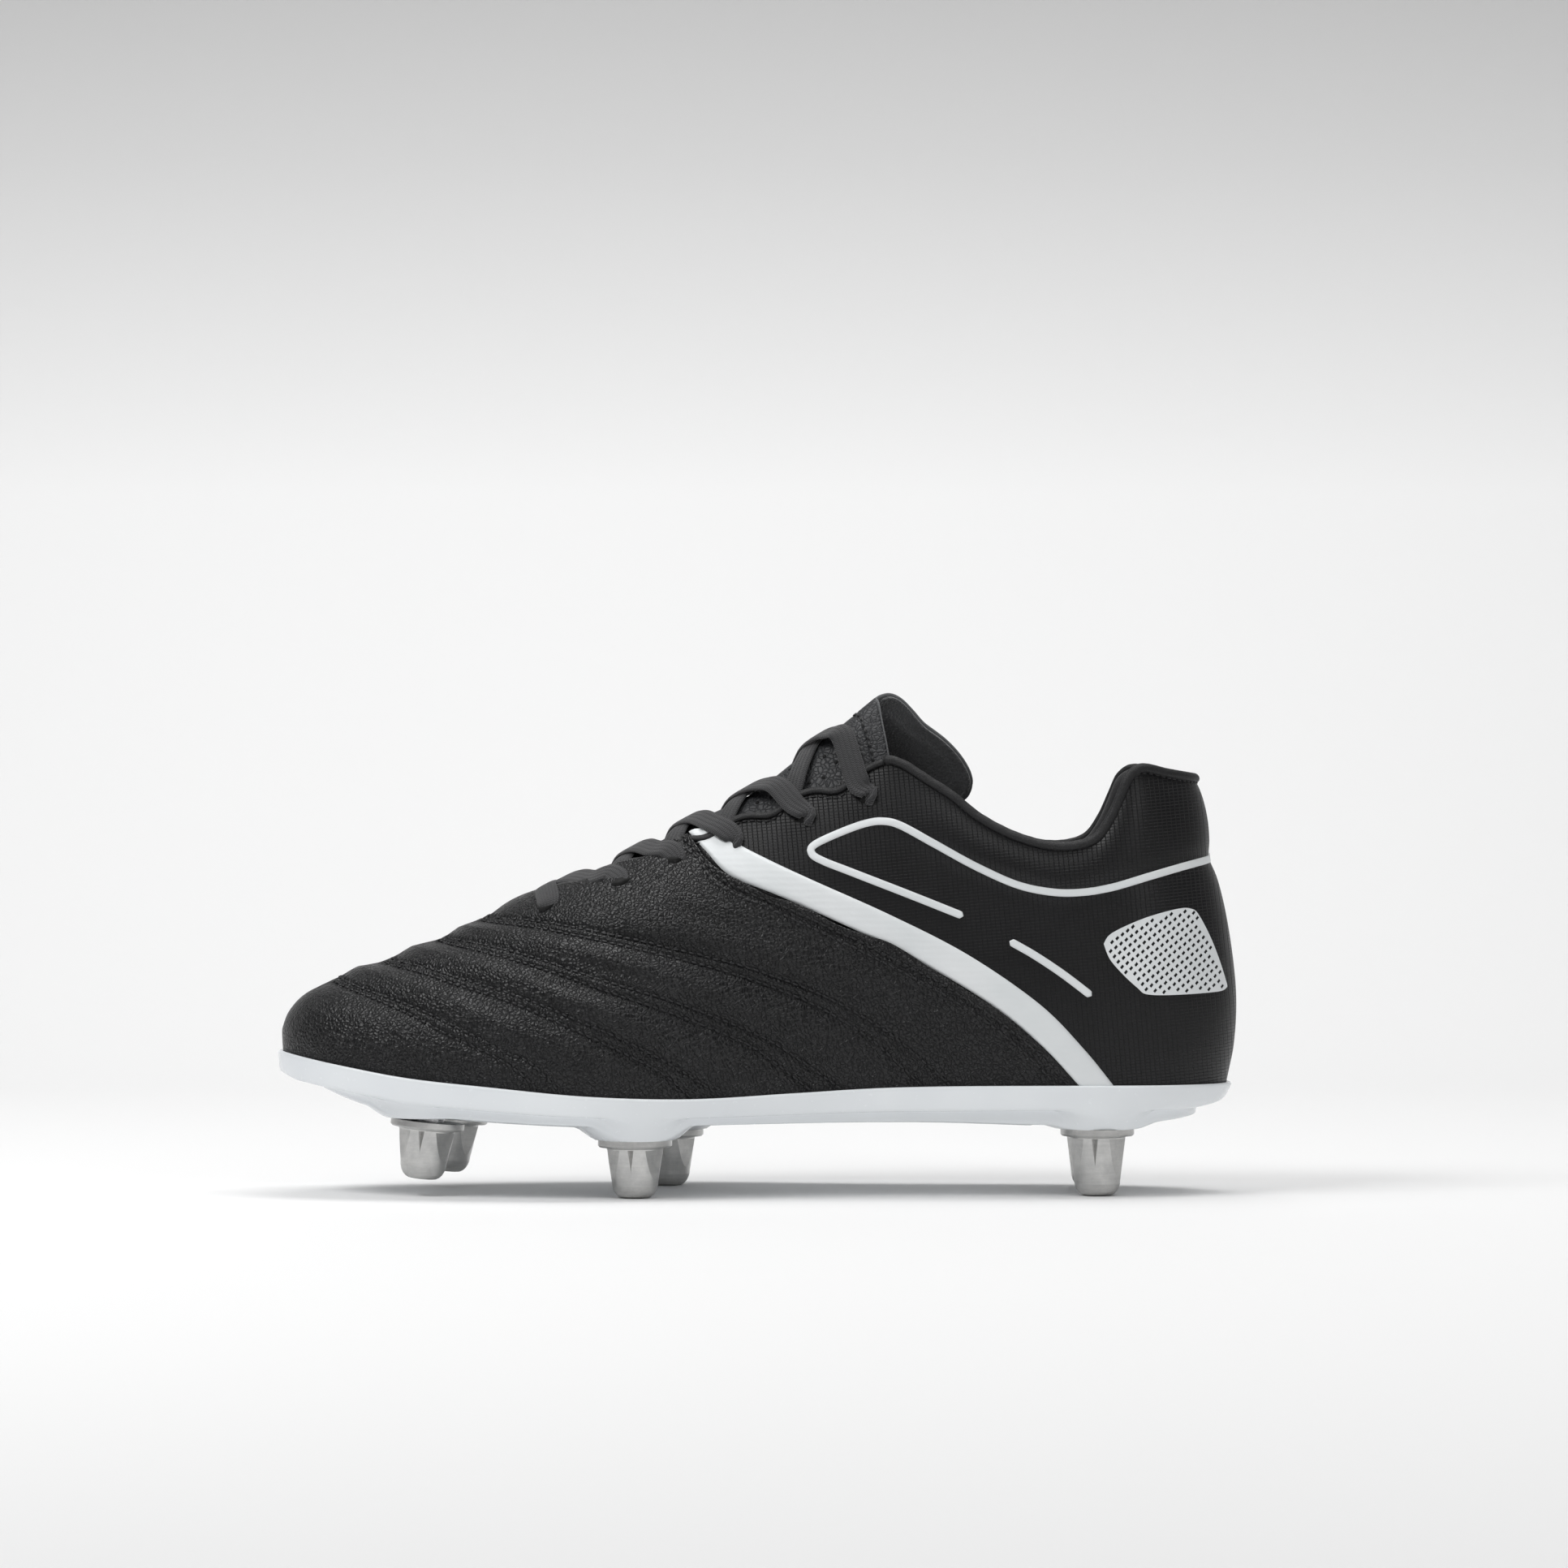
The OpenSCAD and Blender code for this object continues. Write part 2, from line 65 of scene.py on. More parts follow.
# Curves along the shoe, as (x, value) in millimetres, toe to heel
MEDIAL_W = ((-144, 57), (-130, 57.5), (-112, 54), (-85, 51), (-50, 49.98), (-15, 39), (20, 32),
            (50, 33.5), (80, 40), (105, 46.5), (130, 55), (144, 58))
LATERAL_W = ((-144, 54), (-130, 54), (-112, 51), (-85, 50), (-40, 49.3), (-10, 47), (20, 41.5),
             (50, 40), (80, 43.5), (105, 48.5), (130, 56), (144, 59))
FEATHER_Z = ((-144, 42), (-126, 38.7), (-104, 35), (-80, 32.6), (-50, 30), (-20, 29),
             (10, 30.4), (40, 32), (80, 32.6), (144, 32.4))
RIM_Z = ((-144, 47), (-141, 53.5), (-135, 59.5), (-126, 64.8), (-115, 68.6), (-104, 73),
         (-93, 77.6), (-82, 83), (-71, 88), (-60, 91.5), (-41, 98.5), (-24, 106), (-8, 112),
         (14, 120.5), (32, 127.5), (38, 129.5), (43, 128), (50, 123.5), (57, 119), (64, 113.2),
         (71, 109), (78, 106), (86, 104), (95, 104), (103, 106.5), (109, 112.5), (114, 119.5),
         (118, 124.5), (124, 127), (134, 125.5), (144, 124))
RIM_ANGLE = ((-144, 88), (-72, 88), (-68, 82), (-62, 76), (-40, 72), (0, 66), (32, 58),
             (60, 49), (85, 41), (110, 38), (144, 38))
HEEL_BACK = ((28, -4), (36, -2.4), (44, -0.8), (55, 0), (65, -0.4), (80, -2.4), (92, -5),
             (102, -8.3), (112, -10.2), (121, -11.8), (130, -14))
PLATE_Z = ((-144, 37), (-132, 31.5), (-112, 26), (-80, 23), (-40, 21.6), (0, 21.9),
           (50, 22.4), (100, 21.4), (130, 23.2), (144, 27))

# Seams and printed lines on the side of the shoe, as (x, z), the same on both sides
VAMP_SEAM = ((95.3, 32.6), (84.5, 44.3), (70.2, 56.2), (51.1, 68), (29.7, 78.8), (5.8, 89.5),
             (-8.6, 95.4), (-16, 102.7), (-21, 108))
STRIPE_EDGE = ((105.5, 32.6), (96, 44.3), (83, 57.5), (62, 72), (39.2, 83.7), (15.4, 94.3),
               (2, 100.5), (-7.5, 105.5), (-13.6, 110.5))
QUILT_ROWS = (
    ((-129.5, 64), (-119, 60.6), (-104.4, 55), (-90, 47.8), (-79, 42.9), (-69.7, 37), (-64, 31)),
    ((-128, 65), (-117.5, 61.6), (-102, 56.6), (-86.4, 49.6), (-75.5, 44), (-67, 40.4), (-57, 30)),
    ((-114.5, 69.5), (-100.3, 66.7), (-90.5, 63.6), (-71.8, 57.9), (-53.2, 49.9), (-39.6, 43.5),
     (-27.7, 36.9), (-18.5, 28.5)),
    ((-113, 70.5), (-99, 68.2), (-89, 65.3), (-70, 59.8), (-51, 52.2), (-37, 46), (-22, 37.6), (-9, 29)),
    ((-98, 76), (-81.6, 73), (-62.8, 67.9), (-44.2, 61.5), (-26.1, 55.3), (-5, 46.6), (5, 40), (17, 30.5)),
    ((-96.5, 77), (-80, 74.8), (-61, 70), (-42, 63.8), (-23, 57.8), (0, 48.4), (12, 41), (26, 31)),
    ((-85.5, 82), (-67.9, 80.6), (-53.6, 78), (-35.3, 74.2), (-16.8, 69.4), (-1.4, 64.6), (15.4, 57.8),
     (31, 48.6), (41, 40), (49.5, 32)),
    ((-84, 83), (-67, 82.3), (-52, 80), (-33.5, 76.4), (-15, 71.8), (1, 67), (19, 60), (36, 50.5),
     (48, 41), (58, 32)))
LINE_LOOP = ((60.4, 83.6), (44.3, 90), (27.5, 96.5), (18.6, 100), (15.4, 102.2), (16.4, 104.8),
             (25, 108.8), (32, 111.2), (37, 111.7), (42, 110.4), (51.6, 105.2), (63.6, 98.6),
             (75.6, 93.2), (85.2, 90.9), (94, 90.5), (104, 92), (116, 95.4), (128, 98.6), (143.4, 102))
LINE_BAR = ((74.1, 76.2), (81.5, 72), (89.9, 66.4), (98.3, 60))
PATCH = ((102, 75.4), (104.5, 78.6), (114, 82.9), (124, 85.6), (128.5, 85.6), (131, 83.5),
         (135.4, 75), (139.2, 64.5), (139.3, 61.6), (134, 60.6), (116.5, 60.2), (111.7, 62.6), (104.4, 70))
EYELETS = ((-63, 0.83), (-41, 0.84), (-24.5, 0.86), (-7.6, 0.865), (14, 0.87), (32.4, 0.875))

TONGUE_X0, TONGUE_X1, TONGUE_STRAIGHT = -75.0, 34.4, 30.0
STITCH_P = 0.94
TONGUE_LOW = ((0, 70), (0.25, 56), (0.6, 50), (1, 50))


# Numbers and curves ------------------------------------------------------------------------

def smooth(a, b, x):
    """0 below a, 1 above b, and a soft step between them."""
    u = np.clip((np.asarray(x, float) - a) / (b - a), 0, 1)
    return u * u * (3 - 2 * u)


def mix(a, b, u):
    """From a at 0 to b at 1."""
    return a + (b - a) * u


def curve(table, x):
    """A smooth curve through the points (x, value)."""
    p = np.asarray(table, float)
    xs, ys = p[:, 0], p[:, 1]
    lo = np.maximum(np.arange(len(xs)) - 1, 0)
    hi = np.minimum(np.arange(len(xs)) + 1, len(xs) - 1)
    slopes = (ys[hi] - ys[lo]) / (xs[hi] - xs[lo])
    x = np.asarray(x, float)
    i = np.clip(np.searchsorted(xs, x, side="right") - 1, 0, len(xs) - 2)
    h = xs[i + 1] - xs[i]
    u = np.clip((x - xs[i]) / h, 0, 1)
    return (ys[i] * (1 + 2 * u) * (1 - u) ** 2 + slopes[i] * h * u * (1 - u) ** 2
            + ys[i + 1] * u * u * (3 - 2 * u) + slopes[i + 1] * h * u * u * (u - 1))


def path_at(points, u):
    """A smooth path through a list of points, at u from 0 to 1."""
    p = np.asarray(points, float)
    f = np.clip(np.asarray(u, float), 0, 1) * (len(p) - 1)
    i = np.minimum(np.floor(f).astype(int), len(p) - 2)
    w = (f - i)[..., None]
    a, b = p[np.maximum(i - 1, 0)], p[i]
    c, d = p[i + 1], p[np.minimum(i + 2, len(p) - 1)]
    return 0.5 * (2 * b + (c - a) * w + (2 * a - 5 * b + 4 * c - d) * w ** 2
                  + (3 * b - a - 3 * c + d) * w ** 3)


def resample(points, step):
    """The same line with its points about step millimetres apart."""
    fine = path_at(points, np.linspace(0, 1, len(points) * 24))
    run = np.concatenate([[0], np.cumsum(np.linalg.norm(np.diff(fine, axis=0), axis=1))])
    s = np.linspace(0, run[-1], max(3, int(round(run[-1] / step)) + 1))
    return np.stack([np.interp(s, run, fine[:, q]) for q in range(fine.shape[1])], 1)


def unit(v):
    return v / np.maximum(np.linalg.norm(v, axis=-1, keepdims=True), 1e-9)


# The foot form -----------------------------------------------------------------------------

def station(t):
    return -HALF * np.cos(np.radians(t))


def angle_of(x):
    return np.degrees(np.arccos(np.clip(-np.asarray(x, float) * GROW / HALF, -1, 1)))


def arch(t, side, a, d=0.0, lift=0.0):
    """A point of the foot form at station angle t, side -1 or 1 and arch angle a, d outside it."""
    t, side, a, d, lift = np.broadcast_arrays(t, side, a, d, lift)
    x = station(t) / GROW
    zf = curve(FEATHER_Z, x)
    rise = (curve(RIM_Z, x) - zf) / np.sin(np.radians(curve(RIM_ANGLE, x)))
    ca, sa = np.cos(np.radians(a)), np.sin(np.radians(a))
    z = zf + (rise + lift) * sa
    wide = np.where(side < 0, curve(MEDIAL_W, x), curve(LATERAL_W, x)) * np.sin(np.radians(t)) * GROW
    w = wide * ca * (1 - TUCK * (1 - np.clip(a / 60, 0, 1)) ** 4)
    n = unit(np.stack([-PLAN_B * np.cos(np.radians(t)), side * HALF * np.sin(np.radians(t))], -1))
    back = curve(HEEL_BACK, z) * smooth(80, 144, x)
    return np.stack([station(t) + back + d * n[..., 0] * ca, side * w + d * n[..., 1] * ca, z + d * sa], -1)


def rim_angle(t):
    return curve(RIM_ANGLE, station(t) / GROW)


def wall(t, side, v, d=0.0):
    """The same by v, from 0 at the feather line to 1 at the throat or topline edge."""
    return arch(t, side, np.asarray(v) * rim_angle(t), d)


def around(turn, v, d=0.0):
    """Round the heel: turn runs from 0 to 180 on the medial side and on to 360 on the lateral."""
    turn = np.asarray(turn, float)
    return wall(np.where(turn <= 180, turn, 360 - turn), np.where(turn <= 180, -1, 1), v, d)


def v_of(x, z):
    """How far up the wall the side-view point (x, z) lies."""
    zf = curve(FEATHER_Z, x)
    ae = curve(RIM_ANGLE, x)
    k = np.clip((z - zf) / (curve(RIM_Z, x) - zf) * np.sin(np.radians(ae)), 0, 1)
    return np.degrees(np.arcsin(k)) / ae


def on_side(points, side, d=0.0, step=0.6):
    """A side-view line laid on the shoe's surface. Near the heel, x is where the line shows."""
    p = resample(np.asarray(points, float), step)
    x = p[:, 0].copy()
    for _ in range(4):  # undo the heel's slant, so that the line keeps its place in the side view
        x = p[:, 0] - curve(HEEL_BACK, p[:, 1]) * smooth(80, 144, x)
    x = np.minimum(x, LENGTH / 2)
    z = np.maximum(p[:, 1], curve(FEATHER_Z, x))
    return wall(angle_of(x), side, v_of(x, z), d)


def edge_scallop(x):
    """How far the throat's edge draws back between the eyelets, as a share of the wall."""
    eyes = np.array([e[0] for e in EYELETS], float)
    mids = np.concatenate([(eyes[:-1] + eyes[1:]) / 2])
    dip = np.zeros_like(np.asarray(x, float))
    for m in mids:
        dip = np.maximum(dip, np.exp(-((x - m) / 5.5) ** 2))
    return 1 - 0.055 * dip


# Meshes ------------------------------------------------------------------------------------

def grid_normals(g):
    du = np.gradient(g, axis=0)
    dv = np.gradient(g, axis=1)
    return unit(np.cross(du, dv))


def arc_uv(g):
    """Lengths along the rows and columns of a grid, in units of 100 mm."""
    u = np.concatenate([np.zeros((1, g.shape[1])), np.cumsum(np.linalg.norm(np.diff(g, axis=0), axis=2), 0)])
    v = np.concatenate([np.zeros((g.shape[0], 1)), np.cumsum(np.linalg.norm(np.diff(g, axis=1), axis=2), 1)],
        1)
    mid = u[:, g.shape[1] // 2][:, None] * np.ones_like(u)
    return np.stack([mid, v], -1) / 100


def make_object(name, points, faces, uv=None, smooth_shade=True):
    """A mesh object from points in millimetres."""
    points = np.asarray(points, float) * MM
    mesh = bpy.data.meshes.new(name)
    mesh.from_pydata(points.tolist(), [], [tuple(f) for f in faces])
    mesh.validate()
    if uv is not None:
        layer = mesh.uv_layers.new(name="lay")
        index = np.zeros(len(mesh.loops), int)
        mesh.loops.foreach_get("vertex_index", index)
        layer.data.foreach_set("uv", np.asarray(uv, float)[index].ravel())
    mesh.polygons.foreach_set("use_smooth", [smooth_shade] * len(mesh.polygons))
    mesh.update()
    obj = bpy.data.objects.new(name, mesh)
    bpy.context.scene.collection.objects.link(obj)
    return obj


def shell(name, outer, inner, keep=None, nose=False, uv=None):
    """A closed sheet between two grids. keep masks its quads; nose closes the toe's first row."""
    n, m = outer.shape[:2]
    rows = n - 1
    on = np.ones((rows, m - 1), bool) if keep is None else keep
    o = n * m

    def at(i, j):
        return i * m + j

    i, j = np.nonzero(on)
    a, b, c, d = at(i, j), at(i + 1, j), at(i + 1, j + 1), at(i, j + 1)
    faces = [np.stack([a, b, c, d], 1), np.stack([d + o, c + o, b + o, a + o], 1)]
    padded = np.zeros((rows + 2, m + 1), bool)
    padded[1:-1, 1:-1] = on
    sides = ((~padded[i + 1, j], a, d, False), (~padded[i + 1, j + 2], c, b, False),
             (~padded[i + 2, j + 1], b, a, True), (~padded[i, j + 1], d, c, True))
    for bare, p, q, cross in sides:
        if cross:
            p, q = (c, b) if q is a else (a, d)
        else:
            p, q = (b, a) if q is d else (d, c)
        if nose and cross and q is d:
            bare = bare & (i != 0)
        faces.append(np.stack([p, q, q + o, p + o], 1)[bare])
    faces = [tuple(f) for block in faces for f in block.tolist()]
    if nose:
        half = (m - 1) // 2
        for q in range(half):
            l0, l1, r1, r0 = q, q + 1, m - 2 - q, m - 1 - q
            quad = (r0, r1, l1, l0) if l1 != r1 else (r0, l1, l0)
            faces += [quad, tuple(o + k for k in reversed(quad))]
        faces.append((0, o, o + m - 1, m - 1))
    points = np.concatenate([outer.reshape(-1, 3), inner.reshape(-1, 3)])
    used = np.unique(np.concatenate([np.array(f) for f in faces]))
    remap = -np.ones(len(points), int)
    remap[used] = np.arange(len(used))
    faces = [tuple(int(remap[k]) for k in f) for f in faces]
    if uv is not None:
        uv = np.concatenate([uv.reshape(-1, 2)] * 2)[used]
    obj = make_object(name, points[used], faces, uv)
    fix_outward(obj)
    return obj


def fix_outward(obj):
    """Makes the faces agree and look outward."""
    import bmesh
    bm = bmesh.new()
    bm.from_mesh(obj.data)
    bmesh.ops.recalc_face_normals(bm, faces=bm.faces)
    bm.to_mesh(obj.data)
    bm.free()
    obj.data.update()


def tube(name, path, normals, wide, tall, sides=12, power=1.0, closed=False, twist=None):
    """A tube of a flattened round section along a path. normals say which way is up."""
    p = np.asarray(path, float)
    n = len(p)
    wide = np.broadcast_to(wide, n)
    tall = np.broadcast_to(tall, n)
    along = unit(np.roll(p, -1, 0) - np.roll(p, 1, 0)) if closed else unit(np.gradient(p, axis=0))
    across = unit(np.cross(along, normals))
    up = np.cross(across, along)
    q = np.linspace(0, 2 * np.pi, sides, endpoint=False)
    cx = np.sign(np.cos(q)) * np.abs(np.cos(q)) ** power
    sx = np.sign(np.sin(q)) * np.abs(np.sin(q)) ** power
    rings = (p[:, None] + across[:, None] * (cx[None, :, None] * wide[:, None, None] / 2)
             + up[:, None] * (sx[None, :, None] * tall[:, None, None] / 2))
    index = np.arange(n * sides).reshape(n, sides)
    nxt = np.roll(index, -1, 1)
    last = n if closed else n - 1
    faces = []
    for i in range(last):
        k = (i + 1) % n
        faces += np.stack([index[i], nxt[i], nxt[k], index[k]], 1).tolist()
    if not closed:
        faces += [index[0][::-1].tolist(), index[-1].tolist()]
    run = np.concatenate([[0], np.cumsum(np.linalg.norm(np.diff(p, axis=0), axis=1))]) / 100
    uv = np.stack([np.repeat(run, sides), np.tile(cx * wide[0] / 200, n)], 1)
    obj = make_object(name, rings.reshape(-1, 3), faces, uv)
    fix_outward(obj)
    return obj


def blobs(name, centres, along, up, length, wide, tall):
    """Many small rounded dashes as one mesh, such as stitches."""
    rings = ((-0.5, 0.35), (-0.36, 0.85), (0.0, 1.0), (0.36, 0.85), (0.5, 0.35))
    sides = 6
    q = np.linspace(0, 2 * np.pi, sides, endpoint=False)
    across = unit(np.cross(up, along))
    up = np.cross(along, across)
    parts = []
    for s, r in rings:
        for a in q:
            parts.append(centres + along * (s * length) + across * (math.cos(a) * r * wide / 2)
                         + up * (math.sin(a) * r * tall / 2))
    points = np.stack(parts, 1)
    k = len(rings)
    one = []
    for i in range(k - 1):
        for j in range(sides):
            one.append((i * sides + j, i * sides + (j + 1) % sides,
                        (i + 1) * sides + (j + 1) % sides, (i + 1) * sides + j))
    caps = [tuple(range(sides))[::-1], tuple(range((k - 1) * sides, k * sides))]
    count = k * sides
    faces = []
    for c in range(len(centres)):
        faces += [tuple(c * count + v for v in f) for f in one + caps]
    obj = make_object(name, points.reshape(-1, 3), faces)
    fix_outward(obj)
    return obj


def stitch_run(path, normals, pitch=2.5, length=1.75):
    """Centres, directions and normals of the stitches along a path."""
    p = np.asarray(path, float)
    run = np.concatenate([[0], np.cumsum(np.linalg.norm(np.diff(p, axis=0), axis=1))])
    s = np.arange(pitch / 2, run[-1] - pitch / 2, pitch)
    at = np.stack([np.interp(s, run, p[:, q]) for q in range(3)], 1)
    ahead = np.stack([np.interp(s + length / 2, run, p[:, q]) for q in range(3)], 1)
    back = np.stack([np.interp(s - length / 2, run, p[:, q]) for q in range(3)], 1)
    n = np.stack([np.interp(s, run, normals[:, q]) for q in range(3)], 1)
    return at, unit(ahead - back), unit(n)


class Surface:
    """A finished grid that other pieces are laid on: finds the nearest point and its normal."""

    def __init__(self, grids):
        points = np.concatenate([g.reshape(-1, 3) for g in grids])
        normals = np.concatenate([outward(g).reshape(-1, 3) for g in grids])
        self.points, self.normals = points, normals
        self.tree = KDTree(len(points))
        for k, p in enumerate(points):
            self.tree.insert(p, k)
        self.tree.balance()

    def lay(self, path, lift=0.0):
        """The path dropped onto the surface and raised by lift, with the normals there."""
        out, normals = [], []
        for p in path:
            near = self.tree.find_n(p, 4)
            k = [q[1] for q in near]
            w = np.array([1 / (q[2] + 0.05) for q in near])
            w /= w.sum()
            n = unit((self.normals[k] * w[:, None]).sum(0))
            base = (self.points[k] * w[:, None]).sum(0)
            off = np.dot(np.asarray(p) - base, n)
            out.append(np.asarray(p) - n * off + n * lift)
            normals.append(n)
        return np.array(out), np.array(normals)


def outward(g):
    """Normals of a grid, turned away from the inside of the shoe."""
    n = grid_normals(g)
    centre = np.stack([g[..., 0] * 0.82, np.zeros(g.shape[:2]), np.full(g.shape[:2], 62.0)], -1)
    flip = np.sign(np.sum(n * (g - centre), -1, keepdims=True))
    return n * np.where(flip == 0, 1, flip)


# Materials ---------------------------------------------------------------------------------

class Nodes:
    """Short calls for building a material's node tree."""

    def __init__(self, name):
        self.material = bpy.data.materials.new(name)
        self.material.use_nodes = True
        self.tree = self.material.node_tree
        self.tree.nodes.clear()
        self.out = self.tree.nodes.new("ShaderNodeOutputMaterial")
        self.shader = self.tree.nodes.new("ShaderNodeBsdfPrincipled")
        self.tree.links.new(self.shader.outputs[0], self.out.inputs["Surface"])

    def add(self, kind, **settings):
        node = self.tree.nodes.new(kind)
        for key, value in settings.items():
            if key in node.inputs:
                node.inputs[key].default_value = value
            else:
                setattr(node, key.lower(), value)
        return node

    def link(self, a, b):
        self.tree.links.new(a, b)

    def set(self, **values):
        for key, value in values.items():
            self.shader.inputs[key.replace("_", " ")].default_value = value

    def place(self, kind="Object", scale=(1, 1, 1), turn=(0, 0, 0)):
        """Coordinates in metres, or the piece's own lay in units of 100 mm."""
        if kind == "lay":
            source = self.add("ShaderNodeUVMap")
            source.uv_map = "lay"
            output = source.outputs["UV"]
        else:
            source = self.add("ShaderNodeTexCoord")
            output = source.outputs[kind]
        mapping = self.add("ShaderNodeMapping")
        mapping.inputs["Scale"].default_value = scale
        mapping.inputs["Rotation"].default_value = turn
        self.link(output, mapping.inputs["Vector"])
        return mapping.outputs["Vector"]

    def math(self, operation, a, b=None):
        node = self.add("ShaderNodeMath")
        node.operation = operation
        for k, value in enumerate((a, b)):
            if value is None:
                continue
            if isinstance(value, (int, float)):
                node.inputs[k].default_value = value
            else:
                self.link(value, node.inputs[k])
        return node.outputs[0]

    def noise(self, vector, scale, detail=3.0, rough=0.55):
        node = self.add("ShaderNodeTexNoise", Scale=scale, Detail=detail, Roughness=rough)
        self.link(vector, node.inputs["Vector"])
        return node.outputs["Fac"]

    def cells(self, vector, scale, feature="DISTANCE_TO_EDGE"):
        node = self.add("ShaderNodeTexVoronoi", Scale=scale)
        node.feature = feature
        self.link(vector, node.inputs["Vector"])
        return node.outputs["Distance"]

    def ramp(self, value, stops):
        node = self.add("ShaderNodeValToRGB")
        self.link(value, node.inputs["Fac"])
        ramp = node.color_ramp
        while len(ramp.elements) < len(stops):
            ramp.elements.new(0.5)
        for element, (place, colour) in zip(ramp.elements, stops):
            element.position = place
            element.color = (*colour, 1) if len(colour) == 3 else colour
        return node.outputs["Color"]

    def grey(self, value, stops):
        return self.ramp(value, [(p, (g, g, g)) for p, g in stops])

    def bump(self, height, distance, strength=1.0, under=None):
        node = self.add("ShaderNodeBump", Strength=strength, Distance=distance)
        self.link(height, node.inputs["Height"])
        if under is not None:
            self.link(under, node.inputs["Normal"])
        self.link(node.outputs["Normal"], self.shader.inputs["Normal"])
        return node.outputs["Normal"]


def leather(name, dark, light, grain=820.0, depth=0.00022, rough=(0.34, 0.52), gloss=0.4):
    """Grained leather: irregular pebbles parted by fine creases, with a soft sheen."""
    n = Nodes(name)
    place = n.place("Object", (1, 1, 1.0))
    warp = n.add("ShaderNodeTexNoise", Scale=420.0, Detail=2.0)
    n.link(place, warp.inputs["Vector"])
    shift = n.add("ShaderNodeVectorMath")
    shift.operation = "SCALE"
    shift.inputs["Scale"].default_value = 0.0011
    n.link(warp.outputs["Color"], shift.inputs[0])
    moved = n.add("ShaderNodeVectorMath")
    moved.operation = "ADD"
    n.link(place, moved.inputs[0])
    n.link(shift.outputs[0], moved.inputs[1])
    pebbles = n.cells(moved.outputs[0], grain)
    crease = n.grey(pebbles, ((0.0, 0.0), (0.10, 0.62), (0.42, 1.0)))
    fine = n.noise(place, 2600.0, 3.0)
    broad = n.noise(place, 55.0, 2.0)
    first = n.bump(fine, depth * 0.35, 0.6)
    n.bump(crease, depth, 0.85, under=first)
    n.link(n.ramp(broad, ((0.3, dark), (0.75, light))), n.shader.inputs["Base Color"])
    n.link(n.grey(crease, ((0.0, rough[1]), (1.0, rough[0]))), n.shader.inputs["Roughness"])
    n.set(Specular_IOR_Level=gloss)
    return n.material


def grid_cloth(name, dark, light, pitch=1.45):
    """Coated synthetic with a small embossed grid, level with the sole."""
    n = Nodes(name)
    lay = n.place("Object", (1000, 1000, 1000), (0, math.radians(5), 0))
    split = n.add("ShaderNodeSeparateXYZ")
    n.link(lay, split.inputs[0])
    lines = []
    for k, share in ((0, 1.0), (2, 1.5)):
        wave = n.math("ABSOLUTE", n.math("SINE", n.math("MULTIPLY", split.outputs[k],
            math.pi / pitch * share)))
        lines.append(n.grey(wave, ((0.0, 0.0), (0.32, 1.0))))
    cells = n.math("MULTIPLY", lines[0], lines[1])
    place = n.place("Object")
    fine = n.noise(place, 3000.0, 2.0)
    broad = n.noise(place, 40.0, 2.0)
    first = n.bump(fine, 0.00005, 0.5)
    n.bump(cells, 0.00025, 0.9, under=first)
    n.link(n.ramp(broad, ((0.3, dark), (0.75, light))), n.shader.inputs["Base Color"])
    n.link(n.grey(cells, ((0.0, 0.6), (1.0, 0.4))), n.shader.inputs["Roughness"])
    n.set(Specular_IOR_Level=0.35)
    return n.material


def white_film(name, pitch=1.45):
    """Satin white film, through which the grid under it just shows."""
    n = Nodes(name)
    place = n.place("Object")
    fine = n.noise(place, 900.0, 3.0)
    soil = n.noise(place, 30.0, 4.0)
    ribs = n.add("ShaderNodeTexWave", Scale=170.0, Distortion=1.5)
    ribs.bands_direction = "Z"
    n.link(place, ribs.inputs["Vector"])
    first = n.bump(ribs.outputs["Fac"], 0.00006, 0.35)
    n.bump(fine, 0.00008, 0.4, under=first)
    n.link(n.ramp(soil, ((0.35, (0.72, 0.75, 0.76)), (0.65, (0.80, 0.82, 0.83)))),
        n.shader.inputs["Base Color"])
    n.link(n.grey(fine, ((0.3, 0.34), (0.7, 0.5))), n.shader.inputs["Roughness"])
    return n.material


def moulded(name, dark, light, rough=(0.22, 0.36), speckle=700.0, depth=0.00004):
    """Moulded plastic with a faint flow in its colour and gloss."""
    n = Nodes(name)
    place = n.place("Object")
    flow = n.noise(place, 24.0, 3.0)
    fine = n.noise(place, speckle, 3.0)
    n.bump(fine, depth, 0.5)
    n.link(n.ramp(flow, ((0.3, dark), (0.7, light))), n.shader.inputs["Base Color"])
    n.link(n.grey(fine, ((0.3, rough[0]), (0.7, rough[1]))), n.shader.inputs["Roughness"])
    return n.material


def knit(name, dark, light, scale=900.0, depth=0.0003, fuzz=0.35, rough=0.9):
    """Brushed or knitted textile with a nap."""
    n = Nodes(name)
    place = n.place("Object")
    loops = n.cells(place, scale, "F1")
    nap = n.noise(place, scale * 2.2, 4.0, 0.7)
    broad = n.noise(place, 60.0, 3.0)
    first = n.bump(loops, depth, 0.7)
    n.bump(nap, depth, 0.8, under=first)
    blend = n.math("ADD", n.math("MULTIPLY", nap, 0.6), n.math("MULTIPLY", broad, 0.4))
    n.link(n.ramp(blend, ((0.3, dark), (0.7, light))), n.shader.inputs["Base Color"])
    n.link(n.grey(nap, ((0.2, rough), (0.8, rough - 0.08))), n.shader.inputs["Roughness"])
    n.set(Sheen_Weight=fuzz, Sheen_Roughness=0.5)
    return n.material


